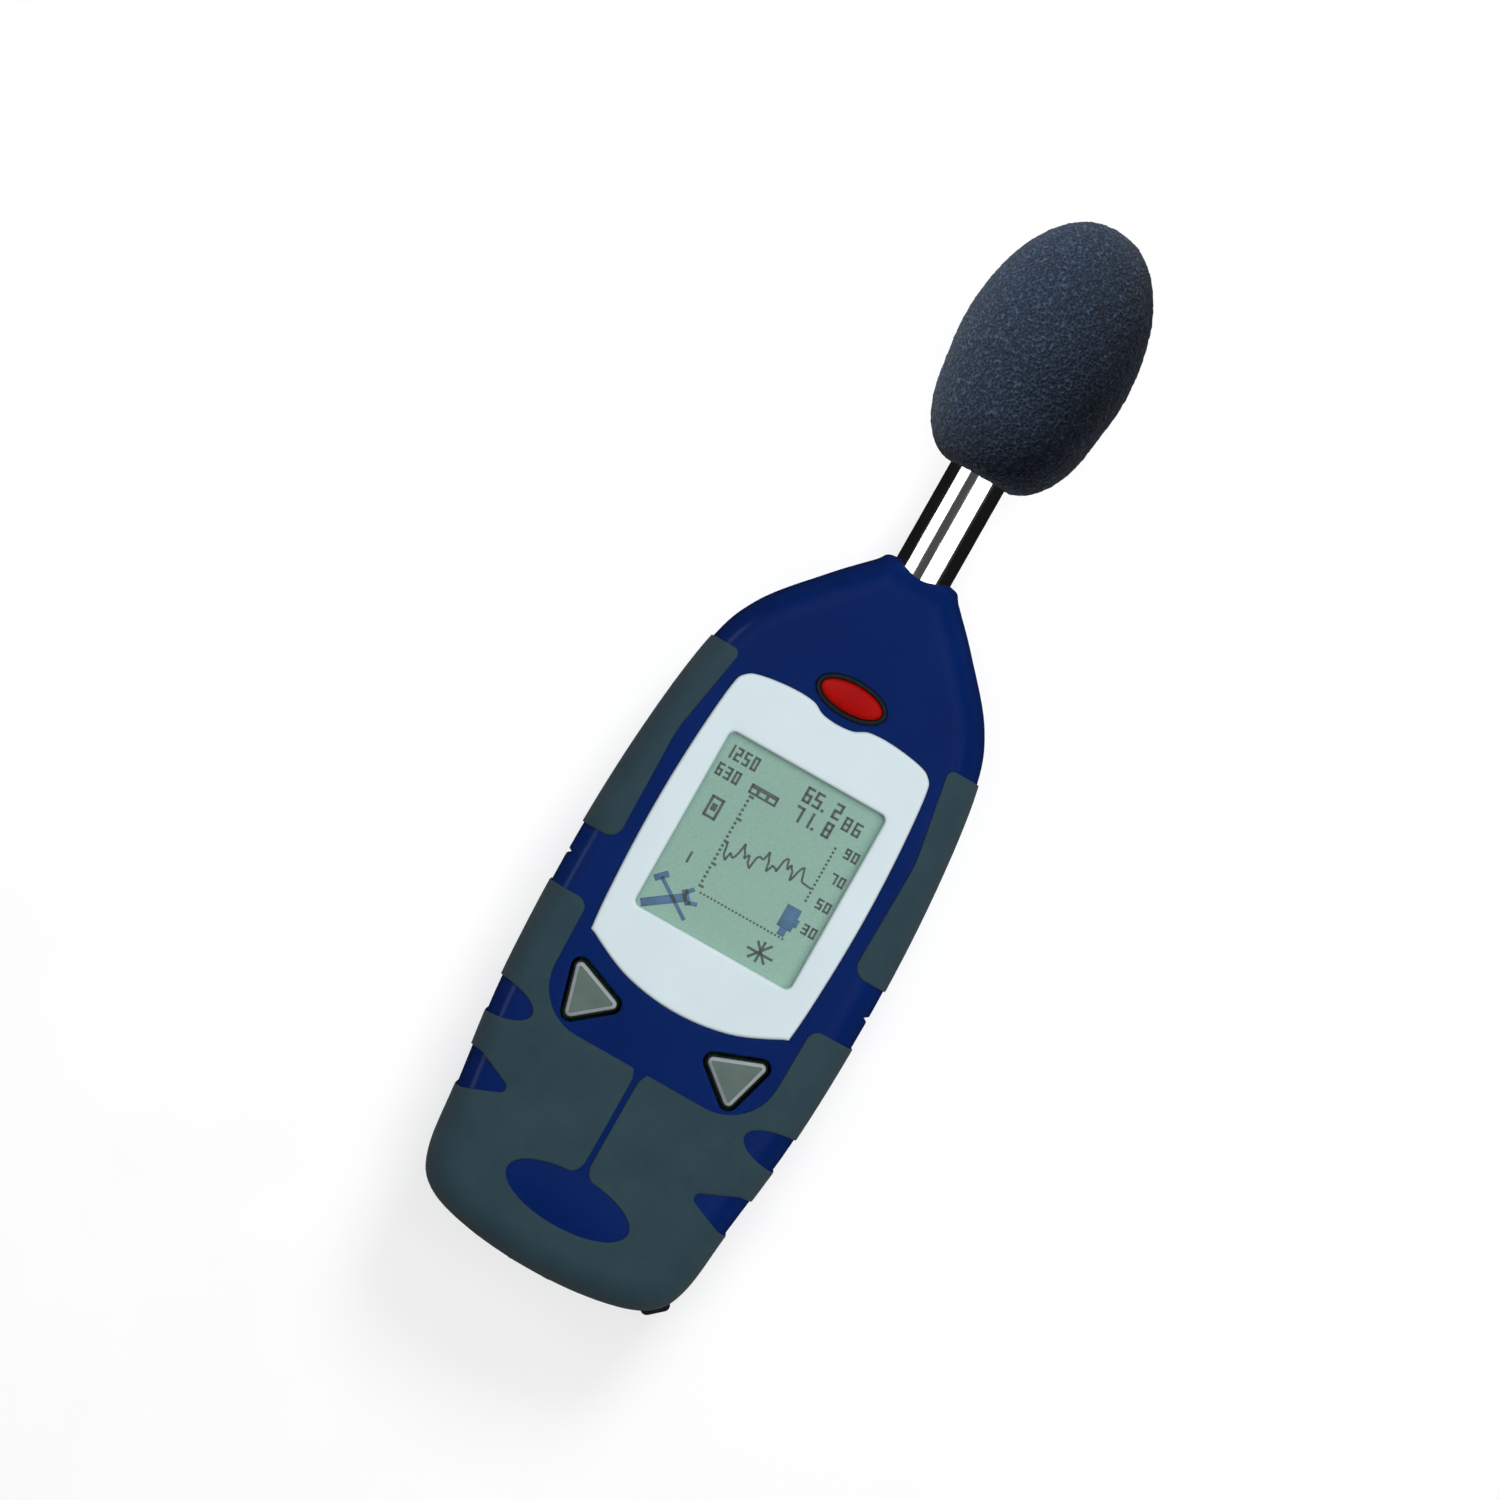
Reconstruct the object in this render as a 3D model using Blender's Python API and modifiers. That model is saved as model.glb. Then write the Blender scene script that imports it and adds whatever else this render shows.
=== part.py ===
"""Handheld sound level meter: two-part plastic case with rubber grips, display, three keys,
battery bay with hinged door, connector bay with rubber cover, and a tube-mounted microphone
under a slide-off foam windscreen.

The meter lies on its back: +Z comes out of the display, +Y runs towards the microphone and
+X to the user's right. The origin is the bottom centre of the whole meter's box. Lengths
along the body are given as a station, the distance from the body's bottom end.
"""

import math

import bmesh
import bpy
import numpy as np
from mathutils import Matrix, Vector

MM = 0.001
FIT = 0.3 * MM              # clearance kept between neighbouring pieces

# ---------------------------------------------------------------- driving dimensions
BODY_LENGTH = 165.6 * MM    # case, bottom end to nose
RUBBER_PROUD = 0.4 * MM     # rubber stands this far above the case surface
FRONT_TOP = 30.6 * MM       # height of the case's front face
BACK_FLOOR = RUBBER_PROUD   # the rubber on the back rests on the surface at zero
AXIS_Z = 19.4 * MM          # microphone axis, also the parting plane of the case
TUBE_RADIUS = 6.35 * MM     # half-inch microphone and preamplifier tube
MIC_TIP = 229.0 * MM        # station of the microphone grid's outer face
SCREEN_TIP = 247.0 * MM     # station of the windscreen's far end
WALL = 2.6 * MM             # case wall
RUBBER_DEPTH = 1.2 * MM     # rubber below the case surface
RECESS_DEPTH = RUBBER_DEPTH + FIT
NOSE_RADIUS = 8.6 * MM      # half-height of the nose around the tube
FRONT_EDGE = (7.0 * MM, 7.5 * MM)   # inset and height of the front edge rounding
BACK_EDGE = (5.0 * MM, 6.0 * MM)    # inset and height of the back edge rounding
CROWN = 0.4 * MM            # the front face rises this much to its centre line
STATION_ZERO = -SCREEN_TIP / 2      # Y of the body's bottom end

# Right half of the case outline, bottom centre to nose centre: (X, station).
HALF_OUTLINE = [
    (0.0, 0.4), (15.0, 1.6), (25.6, 5.0), (30.0, 11.8), (31.9, 27.0), (34.7, 51.0), (35.6, 80.0),
    (34.6, 107.0), (31.7, 131.0), (27.1, 143.4), (17.2, 155.4), (9.9, 163.0), (7.5, 165.4),
    (0.0, 165.6),
]
OUTLINE_STEPS = 2           # outline points for each control point
MEDIAL_STATIONS = (30.0 * MM, 148.0 * MM)   # ends of the ridge that the faces close on
EDGE_ANGLES = (0, 30, 60, 90)

# Display
BEZEL_TOP = 31.0 * MM
BEZEL_BASE = 29.7 * MM
SCREEN_CENTRE = 97.1 * MM
SCREEN_SIZE = (36.8 * MM, 41.0 * MM)
GLASS_SIZE = (40.0 * MM, 46.0 * MM)

# Keys: centre station and half sizes of the power key, corners of the left arrow key
POWER_STATION = 135.2 * MM
POWER_HALF = (7.0 * MM, 3.0 * MM)
ARROW_CORNERS = [(-22.9, 61.6), (-19.3, 48.9), (-9.9, 56.6)]
ARROW_ROUNDING = 1.1 * MM
SEAL_WIDTH = 0.7 * MM
KEY_TRAVEL = 0.6 * MM
KEY_TOP = 31.4 * MM
FLANGE_Z = (25.4 * MM, 26.6 * MM)
FLANGE_REACH = 1.9 * MM     # the flange catches under the case wall

# Electronics
BOARD_Z = (19.0 * MM, 20.6 * MM)
SWITCH_Z = (20.9 * MM, 24.0 * MM)

# Battery bay
CELL_RADIUS = 7.15 * MM
CELL_PITCH = 14.7 * MM
CELL_LENGTH = 49.9 * MM
CELL_Z = 10.5 * MM
TRAY_STATIONS = (19.0 * MM, 77.0 * MM)
TRAY_HALF_WIDTH = 23.5 * MM
TRAY_Z = (3.3 * MM, 18.7 * MM)
TRAY_WALL = 1.2 * MM
PLATE_FACES = (20.85 * MM, 75.15 * MM)  # contact plates' inner faces
PLATE_THICKNESS = 0.35 * MM
SPRING_WIRE = 0.28 * MM
DOOR_STATIONS = (17.6 * MM, 78.6 * MM)
DOOR_HALF_WIDTH = 22.9 * MM
DOOR_THICKNESS = 1.7 * MM
HINGE_Z = BACK_FLOOR + 1.4 * MM
HINGE_BARREL = (1.25 * MM, 16.9)    # radius, half length in millimetres
HINGE_PIN = (0.7 * MM, 20.1)
HINGE_LUG_DEPTH = 1.7 * MM

# Connector bay in the bottom end
COVER_HALF_WIDTH = 17.0 * MM
COVER_Z = (7.8 * MM, 19.1 * MM)

# Sockets behind the cover: X, station and height ranges in millimetres
USB_SHELL = ((-13.4, -5.8), (5.2, 13.6), (14.7, 18.6))
OUTPUT_BODY = ((-4.2, 4.0), (4.6, 15.0), (12.9, 18.6))
OUTPUT_BORE = (-0.1, 15.8, 1.8)     # X, height and radius
POWER_BODY = ((5.4, 14.2), (5.2, 17.0), (9.4, 18.6))
POWER_BORE = (9.8, 14.0, 3.0)
POWER_PIN = 1.0 * MM
SOCKET_BORE = 8.6 * MM      # depth of the round sockets

# Wrist strap lug at the lower right corner: a staple of wire over the case surface
LUG_FOOT = (26.4, 6.0 * MM, 13.0 * MM)      # its middle, on the surface
LUG_ALONG = Vector((0.75, 0.66, 0.0))
LUG_OUT = Vector((0.66, -0.75, 0.0))
LUG_HALF = 2.6              # half the distance between its legs, in millimetres
LUG_RISE = 1.6
LUG_DEPTH = 2.0
LUG_WIRE = 0.55 * MM
LUG_RECESS = (1.7 * MM, 4.4 * MM)   # radius and height of the hollow under the wire

TRIPOD_STATION = 96.0 * MM
TRIPOD_BORE = 3.175 * MM    # quarter-inch camera thread
TRIPOD_OUTER = 5.5 * MM
TRIPOD_DEPTH = 9.6 * MM

# Foam windscreen's outer section: (radius, station) from its tip, in millimetres
WINDSCREEN = [
    (0.0, 247.0), (5.6, 245.7), (10.6, 242.0), (14.6, 236.2), (17.1, 229.6), (18.6, 221.5),
    (18.8, 214.5), (18.1, 208.2), (16.8, 200.1), (15.0, 195.2), (12.6, 191.6), (10.0, 189.4),
    (7.6, 188.4),
]
WINDSCREEN_BORE_END = 229.6

# Case screws: X, station and height of the head's underside, all in millimetres
SCREWS = [(-24.6, 13.8, 5.2), (24.6, 13.8, 5.2), (-17.5, 142.0, 9.2), (17.5, 142.0, 9.2)]
SCREW_TIP = 24.0 * MM
SCREW_HEAD = (2.0 * MM, 1.6 * MM)   # radius, height
SCREW_SHANK = 1.2 * MM
BOSS_RADIUS = 2.9 * MM

# Tube seal at the nose
SEAL_STATIONS = (157.6 * MM, 160.4 * MM)
SEAL_OUTER = 7.3 * MM

# ---------------------------------------------------------------- scene and materials
for old in list(bpy.data.objects):
    bpy.data.objects.remove(old)

PARTS = bpy.data.collections.new("sound_level_meter")
CUTTERS = bpy.data.collections.new("cutters")
for collection in (PARTS, CUTTERS):
    bpy.context.scene.collection.children.link(collection)


def material(name, colour, roughness, metallic=0.0):
    made = bpy.data.materials.new(name)
    made.use_nodes = True
    shader = made.node_tree.nodes["Principled BSDF"]
    shader.inputs["Base Color"].default_value = (*colour, 1.0)
    shader.inputs["Roughness"].default_value = roughness
    shader.inputs["Metallic"].default_value = metallic
    return made


BLUE = material("case_blue", (0.012, 0.035, 0.17), 0.32)
RUBBER = material("grip_rubber", (0.045, 0.075, 0.08), 0.75)
WHITE = material("bezel_white", (0.78, 0.82, 0.82), 0.4)
CLEAR = material("window_clear", (0.9, 0.95, 0.95), 0.05)
LCD = material("lcd_glass", (0.42, 0.52, 0.42), 0.3)
RED = material("power_red", (0.55, 0.01, 0.01), 0.35)
GREY = material("key_grey", (0.33, 0.35, 0.33), 0.5)
BLACK = material("black_plastic", (0.02, 0.02, 0.022), 0.5)
STEEL = material("tube_steel", (0.7, 0.72, 0.74), 0.12, 1.0)
BRASS = material("brass", (0.7, 0.5, 0.2), 0.3, 1.0)
BOARD = material("board_green", (0.02, 0.16, 0.06), 0.45)
FOAM = material("foam", (0.025, 0.032, 0.05), 0.95)
CELL = material("cell_wrap", (0.06, 0.06, 0.07), 0.35)
PTFE = material("insulator_white", (0.8, 0.8, 0.78), 0.5)


# ---------------------------------------------------------------- modelling helpers
def place(x, station, z):
    """A point in the frame, from millimetres for X and metres for the rest."""
    return Vector((x * MM, STATION_ZERO + station, z))


def keep(obj, name, look):
    """Makes an object a node of the meter."""
    obj.name = name
    for collection in list(obj.users_collection):
        collection.objects.unlink(obj)
    PARTS.objects.link(obj)
    obj.data.materials.clear()
    obj.data.materials.append(look)
    obj.data.shade_smooth()
    obj.data.set_sharp_from_angle(angle=math.radians(35))
    return obj


def pivot(obj, point):
    """Moves an unturned object's origin to a point without moving its shape."""
    shift = Vector(point) - obj.location
    obj.data.transform(Matrix.Translation(-shift))
    obj.location = point
    return obj


def helper(obj):
    """Makes an object a cutter: out of renders and drawn as wire."""
    for collection in list(obj.users_collection):
        collection.objects.unlink(obj)
    CUTTERS.objects.link(obj)
    obj.hide_render = True
    obj.display_type = "WIRE"
    return obj


def object_of(bm, name="shape"):
    mesh = bpy.data.meshes.new(name)
    bm.to_mesh(mesh)
    bm.free()
    obj = bpy.data.objects.new(name, mesh)
    bpy.context.scene.collection.objects.link(obj)
    return obj


def box(low, high):
    """A block between two corners of the frame."""
    bm = bmesh.new()
    size = Vector(high) - Vector(low)
    bmesh.ops.create_cube(bm, size=1.0, matrix=Matrix.Diagonal((*size, 1.0)))
    obj = object_of(bm)
    obj.location = (Vector(low) + Vector(high)) / 2
    return obj


def block(x0, x1, s0, s1, z0, z1):
    """A block from X in millimetres, stations and heights in metres."""
    return box(place(x0, s0, z0), place(x1, s1, z1))


def block_of(ranges):
    """A block from its X, station and height ranges, all in millimetres."""
    (x0, x1), (s0, s1), (z0, z1) = ranges
    return block(x0, x1, s0 * MM, s1 * MM, z0 * MM, z1 * MM)


def cylinder(radius, length, centre, axis="Z", sides=24):
    bm = bmesh.new()
    bmesh.ops.create_cone(
        bm, cap_ends=True, segments=sides, radius1=radius, radius2=radius, depth=length
    )
    obj = object_of(bm)
    obj.location = centre
    turns = {"X": (0, math.pi / 2, 0), "Y": (math.pi / 2, 0, 0), "Z": (0, 0, 0)}
    obj.rotation_euler = turns[axis]
    return obj


def mesh_from_curve(curve_object):
    """The curve's evaluated mesh as a closed mesh object in the same place."""
    bpy.context.view_layer.update()
    graph = bpy.context.evaluated_depsgraph_get()
    mesh = bpy.data.meshes.new_from_object(curve_object.evaluated_get(graph))
    bm = bmesh.new()
    bm.from_mesh(mesh)
    bmesh.ops.remove_doubles(bm, verts=bm.verts, dist=1e-6)
    bm.to_mesh(mesh)
    bm.free()
    made = bpy.data.objects.new("shape", mesh)
    made.matrix_world = curve_object.matrix_world
    bpy.context.scene.collection.objects.link(made)
    bpy.data.objects.remove(curve_object)
    return made


def prism(outline, z0, z1):
    """A flat outline of (X, Y) points in the frame, filled and extruded between two heights."""
    curve = bpy.data.curves.new("outline", "CURVE")
    curve.dimensions = "2D"
    curve.fill_mode = "BOTH"
    curve.extrude = (z1 - z0) / 2
    spline = curve.splines.new("POLY")
    spline.points.add(len(outline) - 1)
    for point, (x, y) in zip(spline.points, outline):
        point.co = (x, y, 0, 1)
    spline.use_cyclic_u = True
    obj = bpy.data.objects.new("outline", curve)
    obj.location = (0, 0, (z0 + z1) / 2)
    bpy.context.scene.collection.objects.link(obj)
    return mesh_from_curve(obj)


def wire(points, radius, resolution=2):
    """A round wire through the points."""
    curve = bpy.data.curves.new("wire", "CURVE")
    curve.dimensions = "3D"
    curve.bevel_depth = radius
    curve.bevel_resolution = resolution
    curve.use_fill_caps = True
    spline = curve.splines.new("POLY")
    spline.points.add(len(points) - 1)
    for point, co in zip(spline.points, points):
        point.co = (*co, 1)
    obj = bpy.data.objects.new("wire", curve)
    bpy.context.scene.collection.objects.link(obj)
    return mesh_from_curve(obj)


def turned(profile, steps, centre_x=0.0, axis_z=AXIS_Z, closed=True, flip=False):
    """A turned piece along +Y. The profile is (radius, station) from the far end down the
    outer side; a closed one comes back up its bore, and an open one starts and ends on the axis.
    With flip the piece points the other way round its own middle."""
    bm = bmesh.new()
    middle = (profile[0][1] + profile[-1][1]) / 2 if flip else 0.0
    verts = [bm.verts.new((radius, 0, station - middle)) for radius, station in profile]
    pairs = list(zip(verts, verts[1:])) + ([(verts[-1], verts[0])] if closed else [])
    for pair in pairs:
        bm.edges.new(pair)
    obj = object_of(bm)
    screw = obj.modifiers.new("turn", "SCREW")
    screw.axis = "Z"
    screw.steps = screw.render_steps = steps
    screw.use_merge_vertices = True
    screw.merge_threshold = 1e-6
    obj.rotation_euler = (math.pi / 2 if flip else -math.pi / 2, 0, 0)
    obj.location = (centre_x, STATION_ZERO + middle, axis_z)
    return obj


def combine(target, other, operation="DIFFERENCE"):
    """Cuts, joins or intersects target with a cutter object."""
    if other.name not in CUTTERS.objects:
        helper(other)
    modifier = target.modifiers.new(operation.lower(), "BOOLEAN")
    modifier.operation = operation
    modifier.object = other
    return target


def soften(obj, width, segments=2, angle=40):
    """Rounds the sharp edges."""
    bevel = obj.modifiers.new("round", "BEVEL")
    bevel.width = width
    bevel.segments = segments
    bevel.limit_method = "ANGLE"
    bevel.angle_limit = math.radians(angle)
    return obj


# ---------------------------------------------------------------- outlines
def smooth_loop(points, steps):
    """A closed Catmull-Rom curve through the points."""
    points = np.array(points, float)
    count = len(points)
    loop = []
    for i in range(count):
        before, start, end, after = (points[(i + k) % count] for k in (-1, 0, 1, 2))
        for step in range(steps):
            t = step / steps
            loop.append(
                0.5 * (2 * start + (end - before) * t
                       + (2 * before - 5 * start + 4 * end - after) * t ** 2
                       + (3 * start - before - 3 * end + after) * t ** 3)
            )
    return np.array(loop)


def grown(outline, distance):
    """The counterclockwise outline moved outwards by a small distance, with mitred corners."""
    points = np.array(outline, float)
    edge = np.roll(points, -1, axis=0) - points
    edge /= np.linalg.norm(edge, axis=1)[:, None]
    after = np.stack([edge[:, 1], -edge[:, 0]], axis=1)
    before = np.roll(after, 1, axis=0)
    mitre = (before + after) / (1 + (before * after).sum(axis=1))[:, None]
    return points + mitre * distance


def rounded(corners, steps=3):
    """Points of a counterclockwise polygon from (X mm, station mm, rounding mm) corners."""
    count = len(corners)
    outline = []
    for i, (x, s, radius) in enumerate(corners):
        corner = Vector((x, s))
        if not radius:
            outline.append(corner)
            continue
        to_last = (Vector(corners[i - 1][:2]) - corner).normalized()
        to_next = (Vector(corners[(i + 1) % count][:2]) - corner).normalized()
        half = to_last.angle(to_next) / 2
        reach = radius / math.tan(half)
        centre = corner + (to_last + to_next).normalized() * radius / math.sin(half)
        start = corner + to_last * reach - centre
        sweep = (corner + to_next * reach - centre).angle_signed(start)
        for step in range(steps + 1):
            turn = Matrix.Rotation(sweep * step / steps, 2)
            outline.append(centre + turn @ start)
    return [(x * MM, STATION_ZERO + s * MM) for x, s in outline]


def ellipse(centre_station, half_x, half_y, steps=16, centre_x=0.0):
    angles = [2 * math.pi * i / steps for i in range(steps)]
    centre_y = STATION_ZERO + centre_station
    return [(centre_x + half_x * math.cos(a), centre_y + half_y * math.sin(a)) for a in angles]


def mirrored(outline):
    """The outline mirrored in X, still counterclockwise."""
    return [(-x, y) for x, y in reversed(list(outline))]


def case_outline():
    right = [(x * MM, STATION_ZERO + s * MM) for x, s in HALF_OUTLINE]
    left = [(-x, y) for x, y in right[-2:0:-1]]
    return smooth_loop(right + left, OUTLINE_STEPS)


def bezel_outline(gap=0.0):
    """White display surround: dished under the power key, bowed sides, arc-shaped lower edge."""
    right = [
        (3.6, 129.6), (6.6, 131.0), (12.0, 131.2), (18.6, 130.3), (21.6, 128.9), (23.0, 125.6),
        (24.2, 112.0), (24.7, 97.0), (24.4, 82.0), (23.5, 68.8), (22.2, 67.2), (12.0, 62.7),
    ]
    left = [(-x, s) for x, s in reversed(right)]
    loop = [(0.0, 129.2), *left[::-1], (0.0, 61.1), *right[::-1]]
    points = [(x * MM, STATION_ZERO + s * MM) for x, s in loop]
    return grown(smooth_loop(points, 2), gap)


def boot_outline(back=False):
    """Planform of the lower rubber, with tall side lobes. On the back it leaves a bay for the
    battery door."""
    if back:
        return rounded([
            (-42, 72.3, 0), (-42, -4, 0), (42, -4, 0), (42, 72.3, 0), (27.2, 72.3, 2.5),
            (25.4, 60, 8), (25.4, 15.4, 3), (-25.4, 15.4, 3), (-25.4, 60, 8), (-27.2, 72.3, 2.5),
        ])
    return rounded([
        (-42, 72.3, 0), (-42, -4, 0), (42, -4, 0), (42, 72.3, 0), (26.5, 72.3, 2.5),
        (26.0, 47.1, 11.0), (-26.0, 47.1, 11.0), (-26.5, 72.3, 2.5),
    ])


def notch_outline():
    """Small V between the side rubbers, cut into the right edge of the case."""
    return [(x * MM, STATION_ZERO + s * MM) for x, s in [(34.6, 79.3), (37.0, 77.9), (37.0, 80.7)]]


def badge_outline(gap=0.0):
    """Bare oval field near the bottom end."""
    return ellipse(16.6 * MM, 14.2 * MM + gap, 5.7 * MM + gap, 20)


def groove_outline():
    """Slot down the middle of the front rubber into the oval field, flared at both ends."""
    right = [(5.0, 20.9), (2.2, 22.4), (0.65, 24.2), (0.65, 45.2), (2.4, 48.0)]
    left = [(-x, s) for x, s in reversed(right)]
    return [(x * MM, STATION_ZERO + s * MM) for x, s in right + left]


def grip_outline(side, back=False):
    """Planform of an upper side grip, 1 for the right one."""
    inner = 1.2 if back else 0.0
    right = rounded([
        (24.5 + inner, 132.7, 1.5), (28.2 + inner, 112, 30), (27.8 + inner, 86.0, 3.0),
        (42, 86.0, 0), (42, 132.7, 0),
    ])
    return right if side > 0 else mirrored(right)


def finger_notches(back=False):
    """Planforms of the four bare patches at the sides of the lower rubber. They reach less far
    over the back."""
    if back:
        upper_reach = 6.2 * MM
        tongue = [(29.2, 30.2, 1.2), (36, 25.6, 0), (44, 25.4, 0), (44, 35.2, 0), (36, 34.8, 0)]
    else:
        upper_reach = 10.6 * MM
        tongue = [(20.6, 30.2, 1.2), (30.5, 26.0, 2.5), (44, 25.4, 0), (44, 35.2, 0),
                  (30.5, 34.6, 2.5)]
    upper = ellipse(46.2 * MM, upper_reach, 4.1 * MM, 12, 35.8 * MM)
    lower = rounded(tongue, 2)
    return [upper, lower, mirrored(upper), mirrored(lower)]


def arrow_outline(side, gap=0.0):
    """The triangular key's outline, -1 for the left one."""
    left = rounded([(x, s, ARROW_ROUNDING / MM) for x, s in ARROW_CORNERS], 3)
    return grown(left if side < 0 else mirrored(left), gap)


# ---------------------------------------------------------------- the case surface
def ease(value, start, end):
    t = min(max((value - start) / (end - start), 0.0), 1.0)
    return t * t * (3 - 2 * t)


def face_height(side, station):
    """Height of the front (side 1) or back (side -1) face along the body."""
    share = ease(station, 112 * MM, BODY_LENGTH + 12 * MM) / ease(BODY_LENGTH, 112 * MM,
                                                                 BODY_LENGTH + 12 * MM)
    if side > 0:
        return FRONT_TOP - share * (FRONT_TOP - AXIS_Z - NOSE_RADIUS)
    return BACK_FLOOR + share * (AXIS_Z - NOSE_RADIUS - BACK_FLOOR)


def case_skin(side, offset, thickness, rim=FIT / 2):
    """A curved skin of the front or back case half, its outer face offset from the case
    surface and its rim that far from the parting plane. Rings run from the rim up the wall,
    round the edge and across the face to a ridge on the centre line."""
    outline = grown(case_outline(), offset)
    inset, rise = FRONT_EDGE if side > 0 else BACK_EDGE
    crown = CROWN if side > 0 else 0.0
    medial = [STATION_ZERO + m for m in MEDIAL_STATIONS]
    bm = bmesh.new()

    def ring(distance, drop, centred=False):
        made = []
        for x, y in outline:
            centre = Vector((0.0, min(max(y, medial[0]), medial[1])))
            point = Vector((x, y))
            point += (centre - point).normalized() * distance
            if centred:
                point = centre
            top = face_height(side, point.y - STATION_ZERO) + side * offset
            made.append(bm.verts.new((point.x, point.y, top - side * drop)))
        return made

    rings = [[bm.verts.new((x, y, AXIS_Z + side * rim)) for x, y in outline]]
    for angle in EDGE_ANGLES:
        a = math.radians(angle)
        rings.append(ring(inset * (1 - math.cos(a)), rise * (1 - math.sin(a)) + crown))
    rings.append(ring(0.0, 0.0, centred=True))
    count = len(outline)
    for low, high in zip(rings, rings[1:]):
        for i in range(count):
            j = (i + 1) % count
            face = (low[i], low[j], high[j], high[i])
            bm.faces.new(face if side > 0 else face[::-1])
    bmesh.ops.remove_doubles(bm, verts=bm.verts, dist=1e-6)
    obj = object_of(bm)
    shell = obj.modifiers.new("wall", "SOLIDIFY")
    shell.thickness = thickness
    shell.offset = -1
    shell.use_even_offset = True
    return obj


def rubber(name, side, outline, cutters=(), bare=None):
    """A rubber piece over the case surface, and the pocket cutter that seats it. Cutters open
    the rubber only; inside the bare outline the case surface also keeps its height."""
    low, high = (AXIS_Z - 1 * MM, 40 * MM) if side > 0 else (-5 * MM, AXIS_Z + 1 * MM)
    piece = case_skin(side, RUBBER_PROUD, RUBBER_PROUD + RUBBER_DEPTH)
    combine(piece, prism(outline, low, high), "INTERSECT")
    pocket = case_skin(side, 1.0 * MM, 1.0 * MM + RECESS_DEPTH, rim=-1.5 * MM)
    combine(pocket, prism(grown(outline, FIT), low - 1 * MM, high + 1 * MM), "INTERSECT")
    for cutter in cutters:
        combine(piece, cutter)
    if bare:
        combine(piece, prism(bare, low - 2 * MM, high + 2 * MM))
        combine(pocket, prism(grown(bare, -FIT), low - 2 * MM, high + 2 * MM))
    keep(piece, name, RUBBER)
    return helper(pocket)


# ---------------------------------------------------------------- case halves and rubber
def post(x, station, z0, z1, radius):
    """A short round post or drill along Z, from X and station in millimetres."""
    return cylinder(radius, z1 - z0, place(x, station * MM, (z0 + z1) / 2), sides=14)


def cut_tube_way(case):
    """The tube's way through the nose, with the groove for its seal."""
    radius = TUBE_RADIUS + FIT * 1.15
    combine(case, cylinder(radius, 30 * MM, place(0, 163 * MM, AXIS_Z), "Y", 24))
    low, high = SEAL_STATIONS
    length = high - low + 2 * FIT
    centre = place(0, (low + high) / 2, AXIS_Z)
    combine(case, cylinder(SEAL_OUTER + FIT * 1.2, length, centre, "Y", 24))


def cut_side_notches(case):
    """The small V in each side edge."""
    right = notch_outline()
    for notch in (right, mirrored(right)):
        combine(case, prism(notch, -5 * MM, 40 * MM))


def build_front():
    case = keep(case_skin(1, 0.0, WALL), "front_case", BLUE)
    for x, station, _ in SCREWS:
        boss_top = 27.6 * MM if station > 100 else 26.4 * MM
        combine(case, post(x, station, AXIS_Z + FIT / 2, boss_top, BOSS_RADIUS), "UNION")
    cutters = [prism(notch, AXIS_Z - 3 * MM, 40 * MM) for notch in finger_notches()]
    cutters.append(prism(groove_outline(), AXIS_Z, 40 * MM))
    pockets = [
        rubber("front_boot", 1, boot_outline(), cutters, badge_outline()),
        rubber("front_grip_left", 1, grip_outline(-1)),
        rubber("front_grip_right", 1, grip_outline(1)),
    ]
    for pocket in pockets:
        combine(case, pocket)
    combine(case, prism(bezel_outline(FIT), BEZEL_BASE - FIT, 35 * MM))
    combine(case, centred_block(GLASS_SIZE, 0.4 * MM, 24 * MM, 34 * MM))
    reach = SEAL_WIDTH + 2 * FIT
    combine(case, prism(power_outline(reach), 24 * MM, 35 * MM))
    for side in (-1, 1):
        combine(case, prism(arrow_outline(side, reach), 24 * MM, 35 * MM))
    for x, station, _ in SCREWS:
        combine(case, post(x, station, 15 * MM, SCREW_TIP + FIT, SCREW_SHANK + FIT))
    cut_side_notches(case)
    cut_tube_way(case)


def build_back():
    case = keep(case_skin(-1, 0.0, WALL), "rear_case", BLUE)
    head_radius, head_height = SCREW_HEAD
    for x, station, head_z in SCREWS:
        base = (head_z - 2.2) * MM
        combine(case, post(x, station, base, AXIS_Z - FIT / 2, BOSS_RADIUS + 0.6 * MM), "UNION")
    cutters = [prism(notch, -4 * MM, AXIS_Z + 3 * MM) for notch in finger_notches(back=True)]
    for x, station, _ in SCREWS:
        if station < 100:
            cutters.append(post(x, station, -4 * MM, 4 * MM, 3.3 * MM))
    mouth = COVER_HALF_WIDTH / MM + 0.3
    cutters.append(block(-mouth, mouth, -6 * MM, 9 * MM, COVER_Z[0] - FIT, 26 * MM))
    pockets = [
        rubber("rear_boot", -1, boot_outline(back=True), cutters),
        rubber("rear_grip_left", -1, grip_outline(-1, True)),
        rubber("rear_grip_right", -1, grip_outline(1, True)),
    ]
    for pocket in pockets:
        combine(case, pocket)
    combine(case, block(-15.4, 15.4, -3 * MM, 7 * MM, 8.8 * MM, 18.2 * MM))
    cut_door_bay(case)
    centre = place(0, TRIPOD_STATION, 5 * MM)
    combine(case, cylinder(TRIPOD_OUTER + FIT * 1.2, 20 * MM, centre, sides=20))
    for x, station, head_z in SCREWS:
        seat = head_z * MM + head_height + FIT
        combine(case, post(x, station, -3 * MM, seat, head_radius + FIT * 1.15))
        combine(case, post(x, station, -3 * MM, 25 * MM, SCREW_SHANK + FIT))
    cut_side_notches(case)
    cut_tube_way(case)


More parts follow.
